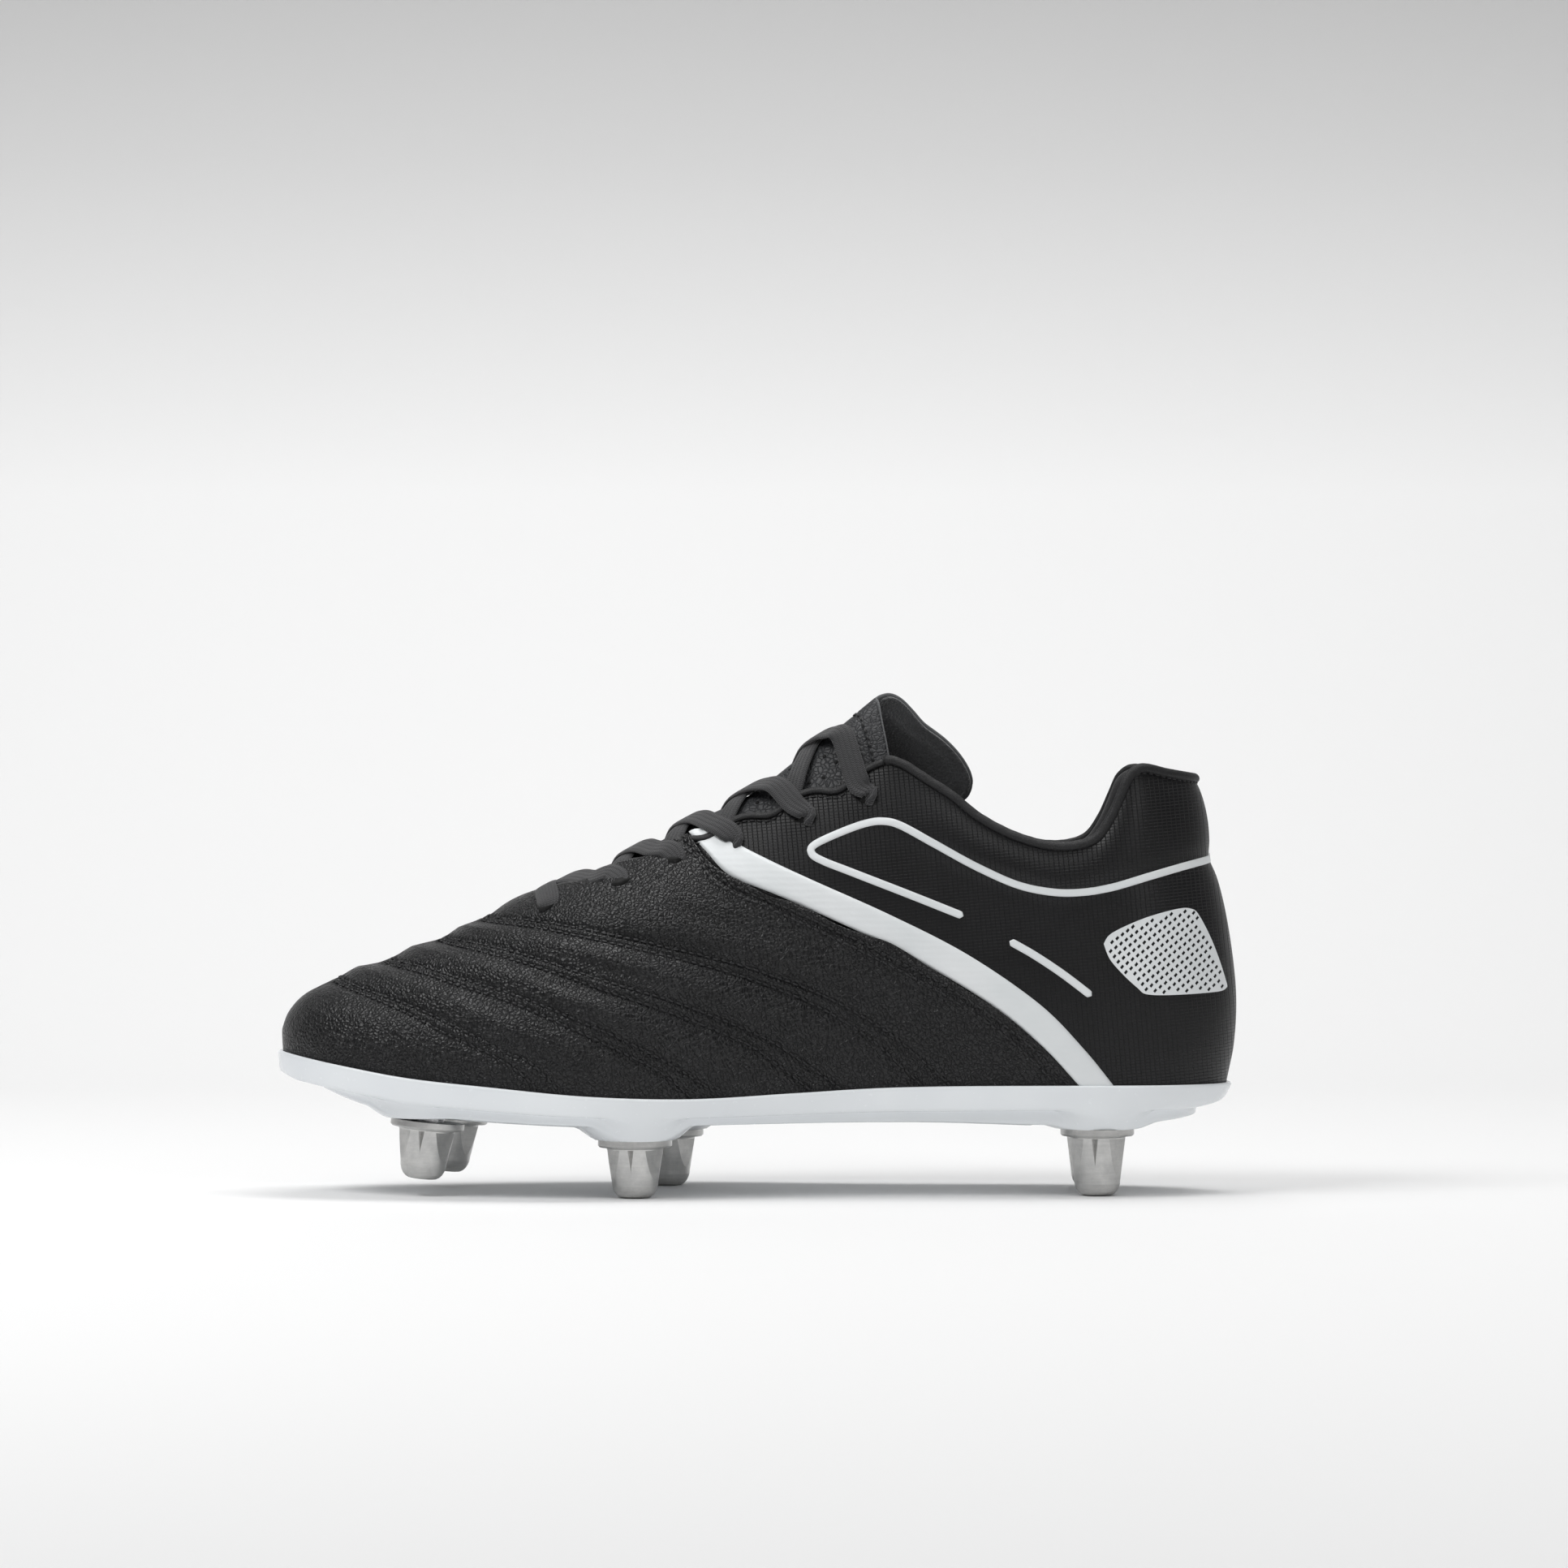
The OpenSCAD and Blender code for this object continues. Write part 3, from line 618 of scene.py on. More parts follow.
def braid(name, dark, light, pitch=0.95):
    """Flat braided lace: ribs along its run, crossed by slanted strands."""
    n = Nodes(name)
    lay = n.place("lay", (100, 100, 1))
    split = n.add("ShaderNodeSeparateXYZ")
    n.link(lay, split.inputs[0])
    ribs = n.math("ABSOLUTE", n.math("SINE", n.math("MULTIPLY", split.outputs[1], math.pi / pitch)))
    slant = n.math("ADD", n.math("MULTIPLY", split.outputs[0], 5.2), n.math("MULTIPLY", ribs, 1.9))
    strands = n.math("ABSOLUTE", n.math("SINE", slant))
    height = n.math("ADD", n.math("MULTIPLY", ribs, 0.7), n.math("MULTIPLY", strands, 0.55))
    fibres = n.noise(n.place("Object"), 4200.0, 2.0)
    first = n.bump(fibres, 0.00006, 0.5)
    n.bump(height, 0.00026, 0.9, under=first)
    # Base colour darker where the braid lies low between ribs and strands: painted shade.
    n.link(n.ramp(height, ((0.15, dark), (1.0, light))), n.shader.inputs["Base Color"])
    n.link(n.grey(fibres, ((0.3, 0.86), (0.7, 0.72))), n.shader.inputs["Roughness"])
    n.set(Sheen_Weight=0.25, Sheen_Roughness=0.5)
    return n.material


def metal(name, dark, light, rough=(0.3, 0.48), scratches=1.0):
    """Cast metal, tumbled to a satin and lightly scuffed."""
    n = Nodes(name)
    place = n.place("Object")
    cloud = n.noise(place, 160.0, 5.0, 0.65)
    grain = n.noise(place, 1600.0, 4.0, 0.7)
    pits = n.cells(place, 620.0, "F1")
    marks = n.add("ShaderNodeTexNoise", Scale=60.0, Detail=8.0, Roughness=0.75)
    n.link(n.place("Object", (1, 1, 9)), marks.inputs["Vector"])
    both = n.math("ADD", n.math("MULTIPLY", cloud, 0.6), n.math("MULTIPLY", marks.outputs["Fac"], 0.4))
    first = n.bump(grain, 0.00006, 0.5 * scratches)
    n.bump(pits, 0.00005, 0.35 * scratches, under=first)
    n.link(n.ramp(both, ((0.35, dark), (0.65, light))), n.shader.inputs["Base Color"])
    n.link(n.grey(grain, ((0.3, rough[0]), (0.7, rough[1]))), n.shader.inputs["Roughness"])
    n.set(Metallic=1.0)
    return n.material


MATERIALS = {}


def finish_of(name):
    """Each finish is made once, when a piece first asks for it."""
    if name not in MATERIALS:
        made = {
            "black leather": lambda: leather("black_leather", (0.0035, 0.0035, 0.004), (0.008, 0.008, 0.009),
                depth=0.0004, rough=(0.27, 0.45)),
            "tongue leather": lambda: leather("tongue_leather", (0.022, 0.023, 0.025), (0.034, 0.035, 0.038),
                                              grain=640.0, depth=0.0003, rough=(0.42, 0.6)),
            "cut edge": lambda: knit("leather_cut_edge", (0.05, 0.052, 0.055), (0.13, 0.135, 0.14), 2400.0,
                0.0002, 0.3),
            "black synthetic": lambda: grid_cloth("black_synthetic", (0.005, 0.005, 0.0055),
                (0.009, 0.009, 0.01)),
            "white film": lambda: white_film("white_film"),
            "white sole": lambda: moulded("white_sole", (0.77, 0.80, 0.83), (0.83, 0.86, 0.88),
                (0.16, 0.28)),
            "binding": lambda: leather("smooth_binding", (0.008, 0.008, 0.009), (0.014, 0.014, 0.015),
                                       grain=1500.0, depth=0.0001, rough=(0.5, 0.62)),
            "lining": lambda: knit("black_lining", (0.006, 0.006, 0.007), (0.016, 0.016, 0.018), 1300.0,
                0.00014, 0.15),
            "fleece": lambda: knit("grey_fleece", (0.018, 0.019, 0.02), (0.055, 0.057, 0.06), 1100.0, 0.0005,
                0.5),
            "lace": lambda: braid("black_lace", (0.006, 0.006, 0.007), (0.021, 0.021, 0.023)),
            "thread": lambda: moulded("black_thread", (0.006, 0.006, 0.007), (0.012, 0.012, 0.013),
                (0.4, 0.55), 3000.0),
            "hole": lambda: moulded("hole_painted_shade", (0.001, 0.001, 0.001), (0.002, 0.002, 0.002), (0.8, 0.9)),
            "foam": lambda: knit("sock_foam", (0.012, 0.012, 0.013), (0.028, 0.028, 0.03), 1500.0, 0.00015,
                0.15),
            "board": lambda: knit("fibre_board", (0.35, 0.28, 0.2), (0.5, 0.42, 0.3), 700.0, 0.0001, 0.0),
            "stiffener": lambda: moulded("grey_stiffener", (0.32, 0.32, 0.33), (0.45, 0.45, 0.46),
                (0.5, 0.65)),
            "aluminium": lambda: metal("cast_aluminium", (0.46, 0.46, 0.455), (0.66, 0.655, 0.64)),
            "steel": lambda: metal("plated_steel", (0.36, 0.36, 0.37), (0.5, 0.5, 0.51), (0.2, 0.34), 0.5),
            # Near-black for the insides of the eyelets and perforations: painted shade, darker than any
            # leather or lining behind them.
            "tip": lambda: moulded("clear_tip", (0.012, 0.012, 0.013), (0.02, 0.02, 0.022), (0.1, 0.2)),
        }[name]
        MATERIALS[name] = made()
    return MATERIALS[name]


def dress(obj, finish, body="shoe", nodes=(), join=False):
    """Gives a piece its finish and body, and hides the CAD nodes it stands for."""
    obj.data.materials.clear()
    obj.data.materials.append(finish_of(finish))
    if body:
        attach(obj, body)
    if nodes:
        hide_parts(*nodes)
    return obj


def dress_node(name, finish):
    """A better finish on a CAD node whose shape is right."""
    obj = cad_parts[name]
    obj.data.materials.clear()
    obj.data.materials.append(finish_of(finish))
    return obj


# Upper -------------------------------------------------------------------------------------

GRIDS = {}


def distance_to(line, grid):
    """How far each point of a grid lies from the nearest point of a line."""
    tree = KDTree(len(line))
    for k, p in enumerate(line):
        tree.insert(p, k)
    tree.balance()
    return np.array([tree.find(p)[2] for p in grid.reshape(-1, 3)]).reshape(grid.shape[:2])


def vamp_grid(fore, wings, steps):
    """Rows over the forepart to the throat, then the two wings back to the quarter's seam."""
    seam = np.stack([angle_of([p[0] for p in VAMP_SEAM]), v_of(*np.array(VAMP_SEAM).T)], 1)
    v = np.linspace(0, 1, steps + 1)
    s = path_at(seam, v)
    s[0, 1], s[-1, 1] = 0, 1
    throat = angle_of(-70.0)
    rows = []
    for i in range(fore + wings + 1):
        w = max(0, i - fore) / wings
        t = np.full(steps + 1, mix(4.0, throat, i / fore)) if i <= fore else mix(throat, s[:, 0] - 0.1, w)
        rise = mix(v, np.clip(s[:, 1], 0, 1), w)
        x = station(t) / GROW
        open_part = smooth(-72, -66, x)
        rise = rise * mix(1.0, edge_scallop(x), open_part * smooth(0.3, 1, v))
        left = wall(t, -1, rise)
        right = wall(t, 1, rise)[::-1]
        rows.append(np.concatenate([left, right]))
    return np.array(rows)


def build_vamp(props):
    fore, wings, steps = props.vamp_rows, int(props.vamp_rows * 0.85), props.vamp_columns
    g = vamp_grid(fore, wings, steps)
    rows_3d = [on_side(r, side, step=1.0) for r in QUILT_ROWS for side in (-1, 1)]
    dist = distance_to(np.concatenate(rows_3d), g)
    n = outward(g)
    height = np.clip((g[..., 2] - 32) / 50, 0, 1)
    fullness = props.pillow * smooth(0.05, 0.6, height) * (1 - 0.55 * smooth(-60, 40, g[..., 0]))
    pillow = fullness * (1 - np.exp(-(dist / 5.5) ** 1.6))
    groove = props.groove * np.exp(-(dist / 0.9) ** 2)
    seam = np.concatenate([on_side(VAMP_SEAM, side, step=1.0) for side in (-1, 1)])
    near_seam = distance_to(seam, g)
    lip = 0.5 * np.exp(-((near_seam - 1.2) / 1.2) ** 2) - 0.35 * np.exp(-((near_seam - 3.2) / 0.7) ** 2)
    folds = 0.0
    for x0, z0, x1, z1, wide, deep in ((-62, 72, -28, 64.5, 2.6, 0.9), (-46, 79, -10, 72, 2.4, 0.7),
                                       (-70, 66, -44, 60, 2.2, 0.6), (-28, 86, 8, 78, 2.6, 0.5),
                                       (-95, 62, -66, 53, 2.4, 0.5)):
        p, q = np.array([x0, z0]), np.array([x1, z1])
        xz = g[..., [0, 2]]
        u = np.clip(((xz - p) @ (q - p)) / np.dot(q - p, q - p), 0, 1)
        off = np.linalg.norm(xz - (p + u[..., None] * (q - p)), axis=-1)
        folds = folds - deep * np.exp(-(off / wide) ** 2) * np.sin(np.pi * np.clip(u, 0.02, 0.98)) ** 0.5
    out = pillow - groove + lip + folds
    out *= smooth(0.0, 0.06, height + 0.03)
    outer = g + n * out[..., None]
    inner = g - n * SKIN
    keep = np.ones((g.shape[0] - 1, g.shape[1] - 1), bool)
    keep[fore:, steps] = False
    vamp = shell("vamp_leather", outer, inner, keep, nose=True, uv=arc_uv(g))
    dress(vamp, "black leather", nodes=["vamp"])
    GRIDS["vamp"] = [outer[:, :steps + 1], outer[:, steps + 1:]]
    surface = Surface(GRIDS["vamp"])
    GRIDS["vamp_surface"] = surface
    runs = [surface.lay(on_side(r, side, step=0.8), 0.12) for r in QUILT_ROWS for side in (-1, 1)]
    for shift in (2.4, 5.0):
        for side in (-1, 1):
            line = on_side(VAMP_SEAM, side, step=0.8)
            along = unit(np.gradient(line, axis=0))
            away = unit(np.cross(along, surface.lay(line)[1])) * side
            runs.append(surface.lay(line + away * shift, 0.12))
    parts = [stitch_run(p, q) for p, q in runs]
    thread = blobs("vamp_stitches", *[np.concatenate(k) for k in zip(*parts)], 1.7, 0.85, 0.6)
    dress(thread, "thread")


def quarter_grid(side, rows, columns):
    seam = np.stack([angle_of([p[0] for p in VAMP_SEAM]), v_of(*np.array(VAMP_SEAM).T)], 1)
    v = np.linspace(0, 1, columns + 1)
    s = path_at(seam, v)
    s[0, 1], s[-1, 1] = 0, 1
    w = np.linspace(0, 1, rows + 1)[:, None]
    t = mix(s[None, :, 0] + 0.1, 180.0, w)
    rise = mix(np.clip(s[None, :, 1], 0, 1), v[None], smooth(0, 1, w))
    x = station(t) / GROW
    rise = rise * mix(1.0, edge_scallop(x), smooth(28, 18, x) * smooth(0.3, 1, v)[None])
    return t, rise, wall(t, side, rise)


def collar_swell(t, rise):
    """The foam at the ankle pushes the quarter out between its white line and the topline."""
    x = station(t) / GROW
    line = v_of(x, curve(((20, 111), (37, 111.5), (51, 105), (63, 98.5), (85, 91), (94, 90.5), (116, 95.2),
        (144, 101)), x))
    up = np.clip((rise - line) / np.maximum(1 - line, 0.05), 0, 1)
    return np.sin(np.pi * np.clip(up, 0, 1)) ** 0.8 * smooth(36, 62, x) - 0.25 * smooth(0.06, 0.0,
        abs(rise - line)) * smooth(40, 60, x)


def build_quarters(props):
    GRIDS["quarter"] = {}
    for side, word in ((-1, "medial"), (1, "lateral")):
        t, rise, g = quarter_grid(side, props.quarter_rows, props.quarter_columns)
        n = outward(g)
        out = props.collar_swell * collar_swell(t, rise)
        outer = g + n * out[..., None]
        inner = g - n * SKIN
        outer[-1, :, 1] = inner[-1, :, 1] = 0.0
        piece = shell(f"quarter_{word}_panel", outer, inner, uv=arc_uv(g))
        dress(piece, "black synthetic", nodes=[f"quarter_{word}"])
        GRIDS["quarter"][side] = outer
    GRIDS["quarter_surface"] = {s: Surface([g]) for s, g in GRIDS["quarter"].items()}


def band(name, side, edge_a, edge_b, lift, thick, columns=8, rows=120):
    """A film between two side-view lines, laid on the quarter."""
    surface = GRIDS["quarter_surface"][side]
    a = on_side(edge_a, side, step=0.5)
    b = on_side(edge_b, side, step=0.5)
    u = np.linspace(0, 1, rows + 1)
    a, b = path_at(a, u), path_at(b, u)
    w = np.linspace(0, 1, columns + 1)
    grid = a[:, None] * (1 - w[None, :, None]) + b[:, None] * w[None, :, None]
    flat, normals = surface.lay(grid.reshape(-1, 3), 0.0)
    flat, normals = flat.reshape(grid.shape), normals.reshape(grid.shape)
    soft = np.minimum(1, np.minimum(w, 1 - w) * columns * 1.2 + 0.35)[None, :, None]
    outer = flat + normals * (lift + thick * soft)
    inner = flat - normals * 0.25
    return shell(name, outer, inner, uv=arc_uv(grid))


def ribbon_on(name, side, line, width, lift=0.32, round_ends=True):
    """A raised printed line of constant width, laid on the quarter, with round ends."""
    surface = GRIDS["quarter_surface"][side]
    path, normals = surface.lay(on_side(line, side, step=0.7), 0.02)
    n = len(path)
    run = np.concatenate([[0], np.cumsum(np.linalg.norm(np.diff(path, axis=0), axis=1))])
    end = np.minimum(run, run[-1] - run) if round_ends else np.minimum(run, 1e3)
    r = width / 2
    half = np.where(end < r, np.sqrt(np.maximum(r * r - (r - end) ** 2, 0.02)), r)
    along = unit(np.gradient(path, axis=0))
    across = unit(np.cross(along, normals))
    w = np.linspace(-1, 1, 7)
    grid = path[:, None] + across[:, None] * (half[:, None, None] * w[None, :, None])
    flat, nn = surface.lay(grid.reshape(-1, 3), 0.0)
    flat, nn = flat.reshape(grid.shape), nn.reshape(grid.shape)
    crown = (1 - np.abs(w) ** 4)[None, :, None]
    return shell(name, flat + nn * (0.08 + lift * crown), flat - nn * 0.2, uv=arc_uv(grid))


def inside(points, outline):
    """Which side-view points lie inside the outline."""
    x, z = points[..., 0], points[..., 1]
    hit = np.zeros(x.shape, bool)
    for (x0, z0), (x1, z1) in zip(outline, np.roll(outline, -1, 0)):
        crossing = (z0 > z) != (z1 > z)
        at = x0 + (z - z0) / (z1 - z0 + 1e-12) * (x1 - x0)
        hit ^= crossing & (x < at)
    return hit


def heel_patch(name, side, pitch=2.72, row=1.36, hole=(0.62, 0.74)):
    """The white printed patch, pierced by rows of small diamonds set half a pitch apart."""
    outline = resample(np.array(PATCH + PATCH[:1]), 0.8)[:-1][::-1]
    slant = math.radians(-9)
    c, w = math.cos(slant), math.sin(slant)
    centre = outline.mean(0)
    points = [Vector(p) for p in outline]
    loops = [list(range(len(points)))]
    for j in range(-16, 17):
        for i in range(-12, 13):
            u = (i + 0.5 * (j % 2)) * pitch
            v = j * row
            at = centre + np.array([u * c - v * w, u * w + v * c])
            if not inside(at[None], outline)[0] or np.linalg.norm(outline - at, axis=1).min() < 0.85:
                continue
            k = len(points)
            points += [Vector(at + np.array(q)) for q in ((hole[0], 0.15), (0.1, hole[1]), (-hole[0], -0.15),
                                                          (-0.1, -hole[1]))]
            loops.append([k, k + 1, k + 2, k + 3])
    done = delaunay_2d_cdt(points, [], loops, 1, 1e-5)
    faces = [tuple(f) for f, origin in zip(done[2], done[5]) if origin and all(q == 0 for q in origin)]
    xz = np.array([tuple(p) for p in done[0]])
    back = xz[:, 0].copy()
    for _ in range(6):
        back = xz[:, 0] - curve(HEEL_BACK, xz[:, 1]) * smooth(80, 144, back)
    back = np.minimum(back, LENGTH / 2 - 0.15)
    flat, normals = GRIDS["quarter_surface"][side].lay(wall(angle_of(back), side, v_of(back, xz[:, 1])), 0.0)
    count = len(flat)
    edges = {}
    for f in faces:
        for a, b in zip(f, f[1:] + f[:1]):
            edges[(a, b)] = edges.get((a, b), 0) + 1
    rim = [(a, b) for a, b in edges if (b, a) not in edges]
    solid = list(faces) + [tuple(k + count for k in reversed(f)) for f in faces]
    solid += [(b, a, a + count, b + count) for a, b in rim]
    obj = make_object(name, np.concatenate([flat + normals * 0.2, flat - normals * 0.15]), solid,
        smooth_shade=False)
    fix_outward(obj)
    return obj


def build_films(props):
    for side, word in ((-1, "medial"), (1, "lateral")):
        stripe = band(f"stripe_{word}_film", side, VAMP_SEAM, STRIPE_EDGE, 0.1, 0.45)
        dress(stripe, "white film", nodes=[f"stripe_{word}"])
        loop = ribbon_on(f"collar_line_{word}", side, LINE_LOOP, props.line_width)
        dress(loop, "white film")
        bar = ribbon_on(f"side_bar_{word}", side, LINE_BAR, props.line_width)
        dress(bar, "white film")
        patch = heel_patch(f"heel_patch_{word}", side)
        dress(patch, "white film")


# Collar, throat and tongue -----------------------------------------------------------------

def topline(turns, v=1.0, d=0.0, up=0.0):
    return around(turns, v, d) + np.array([0, 0, up])


def build_collar(props):
    first = float(angle_of(37.0))
    turns = np.linspace(first, 360 - first, 260)
    t = np.where(turns <= 180, turns, 360 - turns)
    x = station(t) / GROW
    padded = smooth(36, 60, x)
    stations = []
    for v, d, up, thick in ((1.0, -0.6, 0.4, 0), (1.0, -1.6, 1.7, -0.6), (1.0, -3.2, 2.3, -1.6),
        (0.985, -4.6, 1.4, -2.4),
                            (0.94, -5.4, 0.2, -3.4), (0.84, -5.2, 0, -4.2), (0.7, -4.8, 0, -3.6),
                                (0.55, -4.4, 0, -0.6),
                            (0.35, -4.2, 0, 0), (0.15, -4.2, 0, 0), (0.02, -4.2, 0, 0)):
        stations.append(around(turns, v, d + thick * padded) + np.array([0, 0, 1.0]) * (up * mix(0.4, 1.0,
            padded))[:, None])
    profile = np.stack(stations, 1)
    u = np.linspace(0, 1, 56)
    grid = np.stack([path_at(row, u) for row in profile])
    n = grid_normals(grid)
    sign = np.sign(np.mean(n[130, 40] * (grid[130, 40] - np.array([100.0, 0, 80.0]))))
    lining = shell("collar_lining", grid, grid + n * sign * 0.7, uv=arc_uv(grid))
    dress(lining, "lining", nodes=["quarter_lining"])
    path = around(turns, 1.0, 0.1) + np.array([0, 0, 0.5])
    out = around(turns, 1.0, 3.0) - around(turns, 1.0, 0.0)
    swell = 0.15 * np.sin(turns * 3.1) + 0.1 * np.sin(turns * 7.7)
    piping = tube("topline_piping", path, unit(out), 3.1, 2.5 + swell, 14)
    dress(piping, "binding", nodes=["topline_binding"])
    below = around(turns, 0.985, 0.45)
    n = unit(around(turns, 0.985, 2.0) - around(turns, 0.985, 0.0))
    at = stitch_run(below, n, 2.3)
    dress(blobs("topline_stitches", *at, 1.6, 0.7, 0.55), "thread")


def throat_path(side, d=0.0, inset=0.0):
    x = np.linspace(-67, 37, 170)
    return x, wall(angle_of(x), side, edge_scallop(x) * smooth(-80, -67, x) - inset, d)


def build_throat(props):
    """The rolled edge round the lacing, and near-black disks at the eyelets, painted as the shade inside the
    holes.
    """
    xm, medial = throat_path(-1, 0.15)
    xl, lateral = throat_path(1, 0.15)
    front = []
    for q in np.linspace(-1, 1, 17)[1:-1]:
        x = -67 - 4.2 * (1 - q * q)
        a = 90 - 12 * abs(q) ** 1.2
        front.append(arch(angle_of(x), -1 if q < 0 else 1, a, 0.2))
    path = np.concatenate([medial[::-1], np.array(front), lateral])
    path = resample(path[::3], 1.0)
    centre = np.stack([path[:, 0] * 0.9, np.zeros(len(path)), np.full(len(path), 60.0)], 1)
    edge = tube("throat_piping", path, unit(path - centre), 3.0, 1.9, 12)
    dress(edge, "binding")
    runs = []
    for side in (-1, 1):
        x = np.linspace(-64, 34, 150)
        line = wall(angle_of(x), side, edge_scallop(x) - 0.035, 0.3)
        runs.append(stitch_run(line, unit(wall(angle_of(x), side, 0.9, 3) - wall(angle_of(x), side, 0.9, 0)),
            2.3))
    dress(blobs("throat_stitches", *[np.concatenate(k) for k in zip(*runs)], 1.6, 0.7, 0.55), "thread")
    # Each eyelet is a near-black disk on the surface: painted shade inside the hole.
    holes, faces = [], []
    for side in (-1, 1):
        for x, v in EYELETS:
            surface = GRIDS["vamp_surface"] if x < -20 else GRIDS["quarter_surface"][side]
            c, n = surface.lay([wall(angle_of(x), side, v)], 0.06)
            c, n = c[0], n[0]
            along = unit(np.array([1.0, 0, 0.45]) - n * np.dot(n, [1.0, 0, 0.45]))
            across = np.cross(n, along)
            k = len(holes)
            ring = np.linspace(0, 2 * np.pi, 20, endpoint=False)
            holes += [c + along * 2.9 * math.cos(q) + across * 1.7 * math.sin(q) for q in ring]
            holes += [c - n * 0.5 + along * 2.4 * math.cos(q) + across * 1.3 * math.sin(q) for q in ring]
            faces += [(k + q, k + (q + 1) % 20, k + 20 + (q + 1) % 20, k + 20 + q) for q in range(20)]
            faces += [tuple(k + q for q in range(20)), tuple(k + 20 + q for q in reversed(range(20)))]
    dark = make_object("eyelet_holes", holes, faces)
    fix_outward(dark)
    dress(dark, "hole")


def tongue_at(p, q, d):
    """The tongue: p runs up it, and q from -1 at the medial edge to 1 at the lateral edge."""
    p, q, d = np.broadcast_arrays(np.asarray(p, float), q, d)
    side = np.where(q < 0, -1, 1)
    beta = 90 * np.abs(q)
    a = 90 - (90 - curve(TONGUE_LOW, p)) * np.abs(q)
    corner = np.clip((np.abs(q) - 0.8) / 0.2, 0, 1)
    round_off = 7.0 * (1 - np.sqrt(1 - 0.98 * corner ** 2))
    reach = np.where(q < 0, 6 * np.abs(q), 31 * np.sin(np.radians(beta)) ** 1.15) - round_off
    x = mix(TONGUE_X0, TONGUE_X1 + reach, p)
    over = np.maximum(0, x - TONGUE_STRAIGHT)
    b = arch(angle_of(np.minimum(x, TONGUE_STRAIGHT)), side, a, d + 2 * smooth(62, 86, a),
        LIFT * smooth(-10, 30, x))
    return np.stack([b[..., 0] + over, b[..., 1] * (1 - 0.0133 * over),
                     b[..., 2] + over * 0.75 * (1 - smooth(0, 35, beta))], -1)


def build_tongue(props):
    p = np.linspace(0, 1, 120)[:, None]
    q = np.linspace(-1, 1, 81)[None]
    top = tongue_at(p, q, -SKIN - 2.4)
    ripple = 0.25 * np.sin(p * 26 + q * 2) * smooth(0.1, 0.5, p) * (1 - np.abs(q) * 0.5)
    ripple = ripple - 0.5 * np.exp(-((p - STITCH_P - 0.03 * np.abs(q)) / 0.008) ** 2)
    n = outward(top)
    top = top + n * ripple[..., None]
    cover = shell("tongue_cover_leather", top, top - n * 1.3, uv=arc_uv(top))
    dress(cover, "tongue leather", "tongue", ["tongue_cover"])
    pads = top - n * 1.35
    thick = 2.6 * (0.35 + 0.65 * smooth(0, 0.08, 1 - p) * smooth(0, 0.12, 1 - np.abs(q)))
    back = shell("tongue_fleece", pads, pads - n * thick[..., None], uv=arc_uv(top))
    dress(back, "fleece", "tongue", ["tongue_padding"])
    qq = np.linspace(-0.97, 0.97, 120)
    row = tongue_at(STITCH_P + 0.03 * np.abs(qq), qq, -SKIN - 2.4 - 0.25)
    up = unit(row - np.stack([row[:, 0] - 20, np.zeros(len(row)), np.full(len(row), 80.0)], 1))
    dress(blobs("tongue_stitches", *stitch_run(row, up, 2.4), 1.7, 0.7, 0.55), "thread",
        "tongue")
    rim = np.concatenate([top[-1], top[::-1, -1]]) - np.concatenate([n[-1], n[::-1, -1]]) * 0.65
    rim = resample(rim[::3], 0.8)
    cut = tube("tongue_cut_edge", rim, np.tile([0.3, 0.2, 1.0], (len(rim), 1)), 1.1, 1.35, 8)
    dress(cut, "cut edge", "tongue")
    # Near-black dots on the cover for the perforations: painted shade inside the holes.
    dots, faces = [], []
    surface = Surface([top])
    for k, pp in enumerate(np.arange(0.40, 0.90, 0.036)):
        for m, qv in enumerate((-0.62, -0.42, -0.2, 0.2, 0.42, 0.62)):
            c = tongue_at(pp + (0.012 if m % 2 else 0), qv + 0.05 * (k % 2), -SKIN - 2.4)
            c, n1 = surface.lay([c], 0.05)
            c, n1 = c[0], n1[0]
            along = unit(np.cross(n1, [0, 1.0, 0]))
            across = np.cross(n1, along)
            base = len(dots)
            ring = np.linspace(0, 2 * np.pi, 12, endpoint=False)
            dots += [c + (along * math.cos(a) + across * math.sin(a)) * 0.62 for a in ring]
            dots += [c - n1 * 0.4 + (along * math.cos(a) + across * math.sin(a)) * 0.5 for a in ring]
            faces += [(base + a, base + (a + 1) % 12, base + 12 + (a + 1) % 12,
                base + 12 + a) for a in range(12)]
            faces += [tuple(base + a for a in range(12)), tuple(base + 12 + a for a in reversed(range(12)))]
    holes = make_object("tongue_perforations", dots, faces)
    fix_outward(holes)
    dress(holes, "hole", "tongue")


# Lace --------------------------------------------------------------------------------------

def over_tongue(x, q, d):
    """A point over the lacing's crest, q from -1 at the medial flap to 1 at the lateral."""
    a = 90 - 30 * abs(q)
    return arch(angle_of(x), -1 if q < 0 else 1, a, d, LIFT * float(smooth(-10, 30, x)))


def crossing(e, side):
    """From the outside of an eyelet over the tongue to the underside of the next one down."""
    x0, x1 = EYELETS[e][0], EYELETS[e - 1][0]
    dive = x1 - 0.28 * (x0 - x1)
    high = 0.25 if side < 0 else -0.85
    return [wall(angle_of(x0), side, EYELETS[e][1] - 0.012, -1.4),
            wall(angle_of(x0 + 0.2), side, EYELETS[e][1] + 0.004, 0.7),
            wall(angle_of(mix(x0, dive, 0.14)), side, 0.935, 1.5),
            over_tongue(mix(x0, dive, 0.33), side * 0.66, 1.1 if side < 0 else 0.5),
            over_tongue(mix(x0, dive, 0.5), side * 0.36, high + 0.35),
            over_tongue(mix(x0, dive, 0.66), side * 0.06, high),
            over_tongue(mix(x0, dive, 0.79), -side * 0.28, high - 0.3),
            over_tongue(mix(x0, dive, 0.92), -side * 0.66, -1.9),
            wall(angle_of(dive), -side, 0.95, -2.7), wall(angle_of(mix(dive, x1, 0.6)), -side, 0.9, -2.9)]


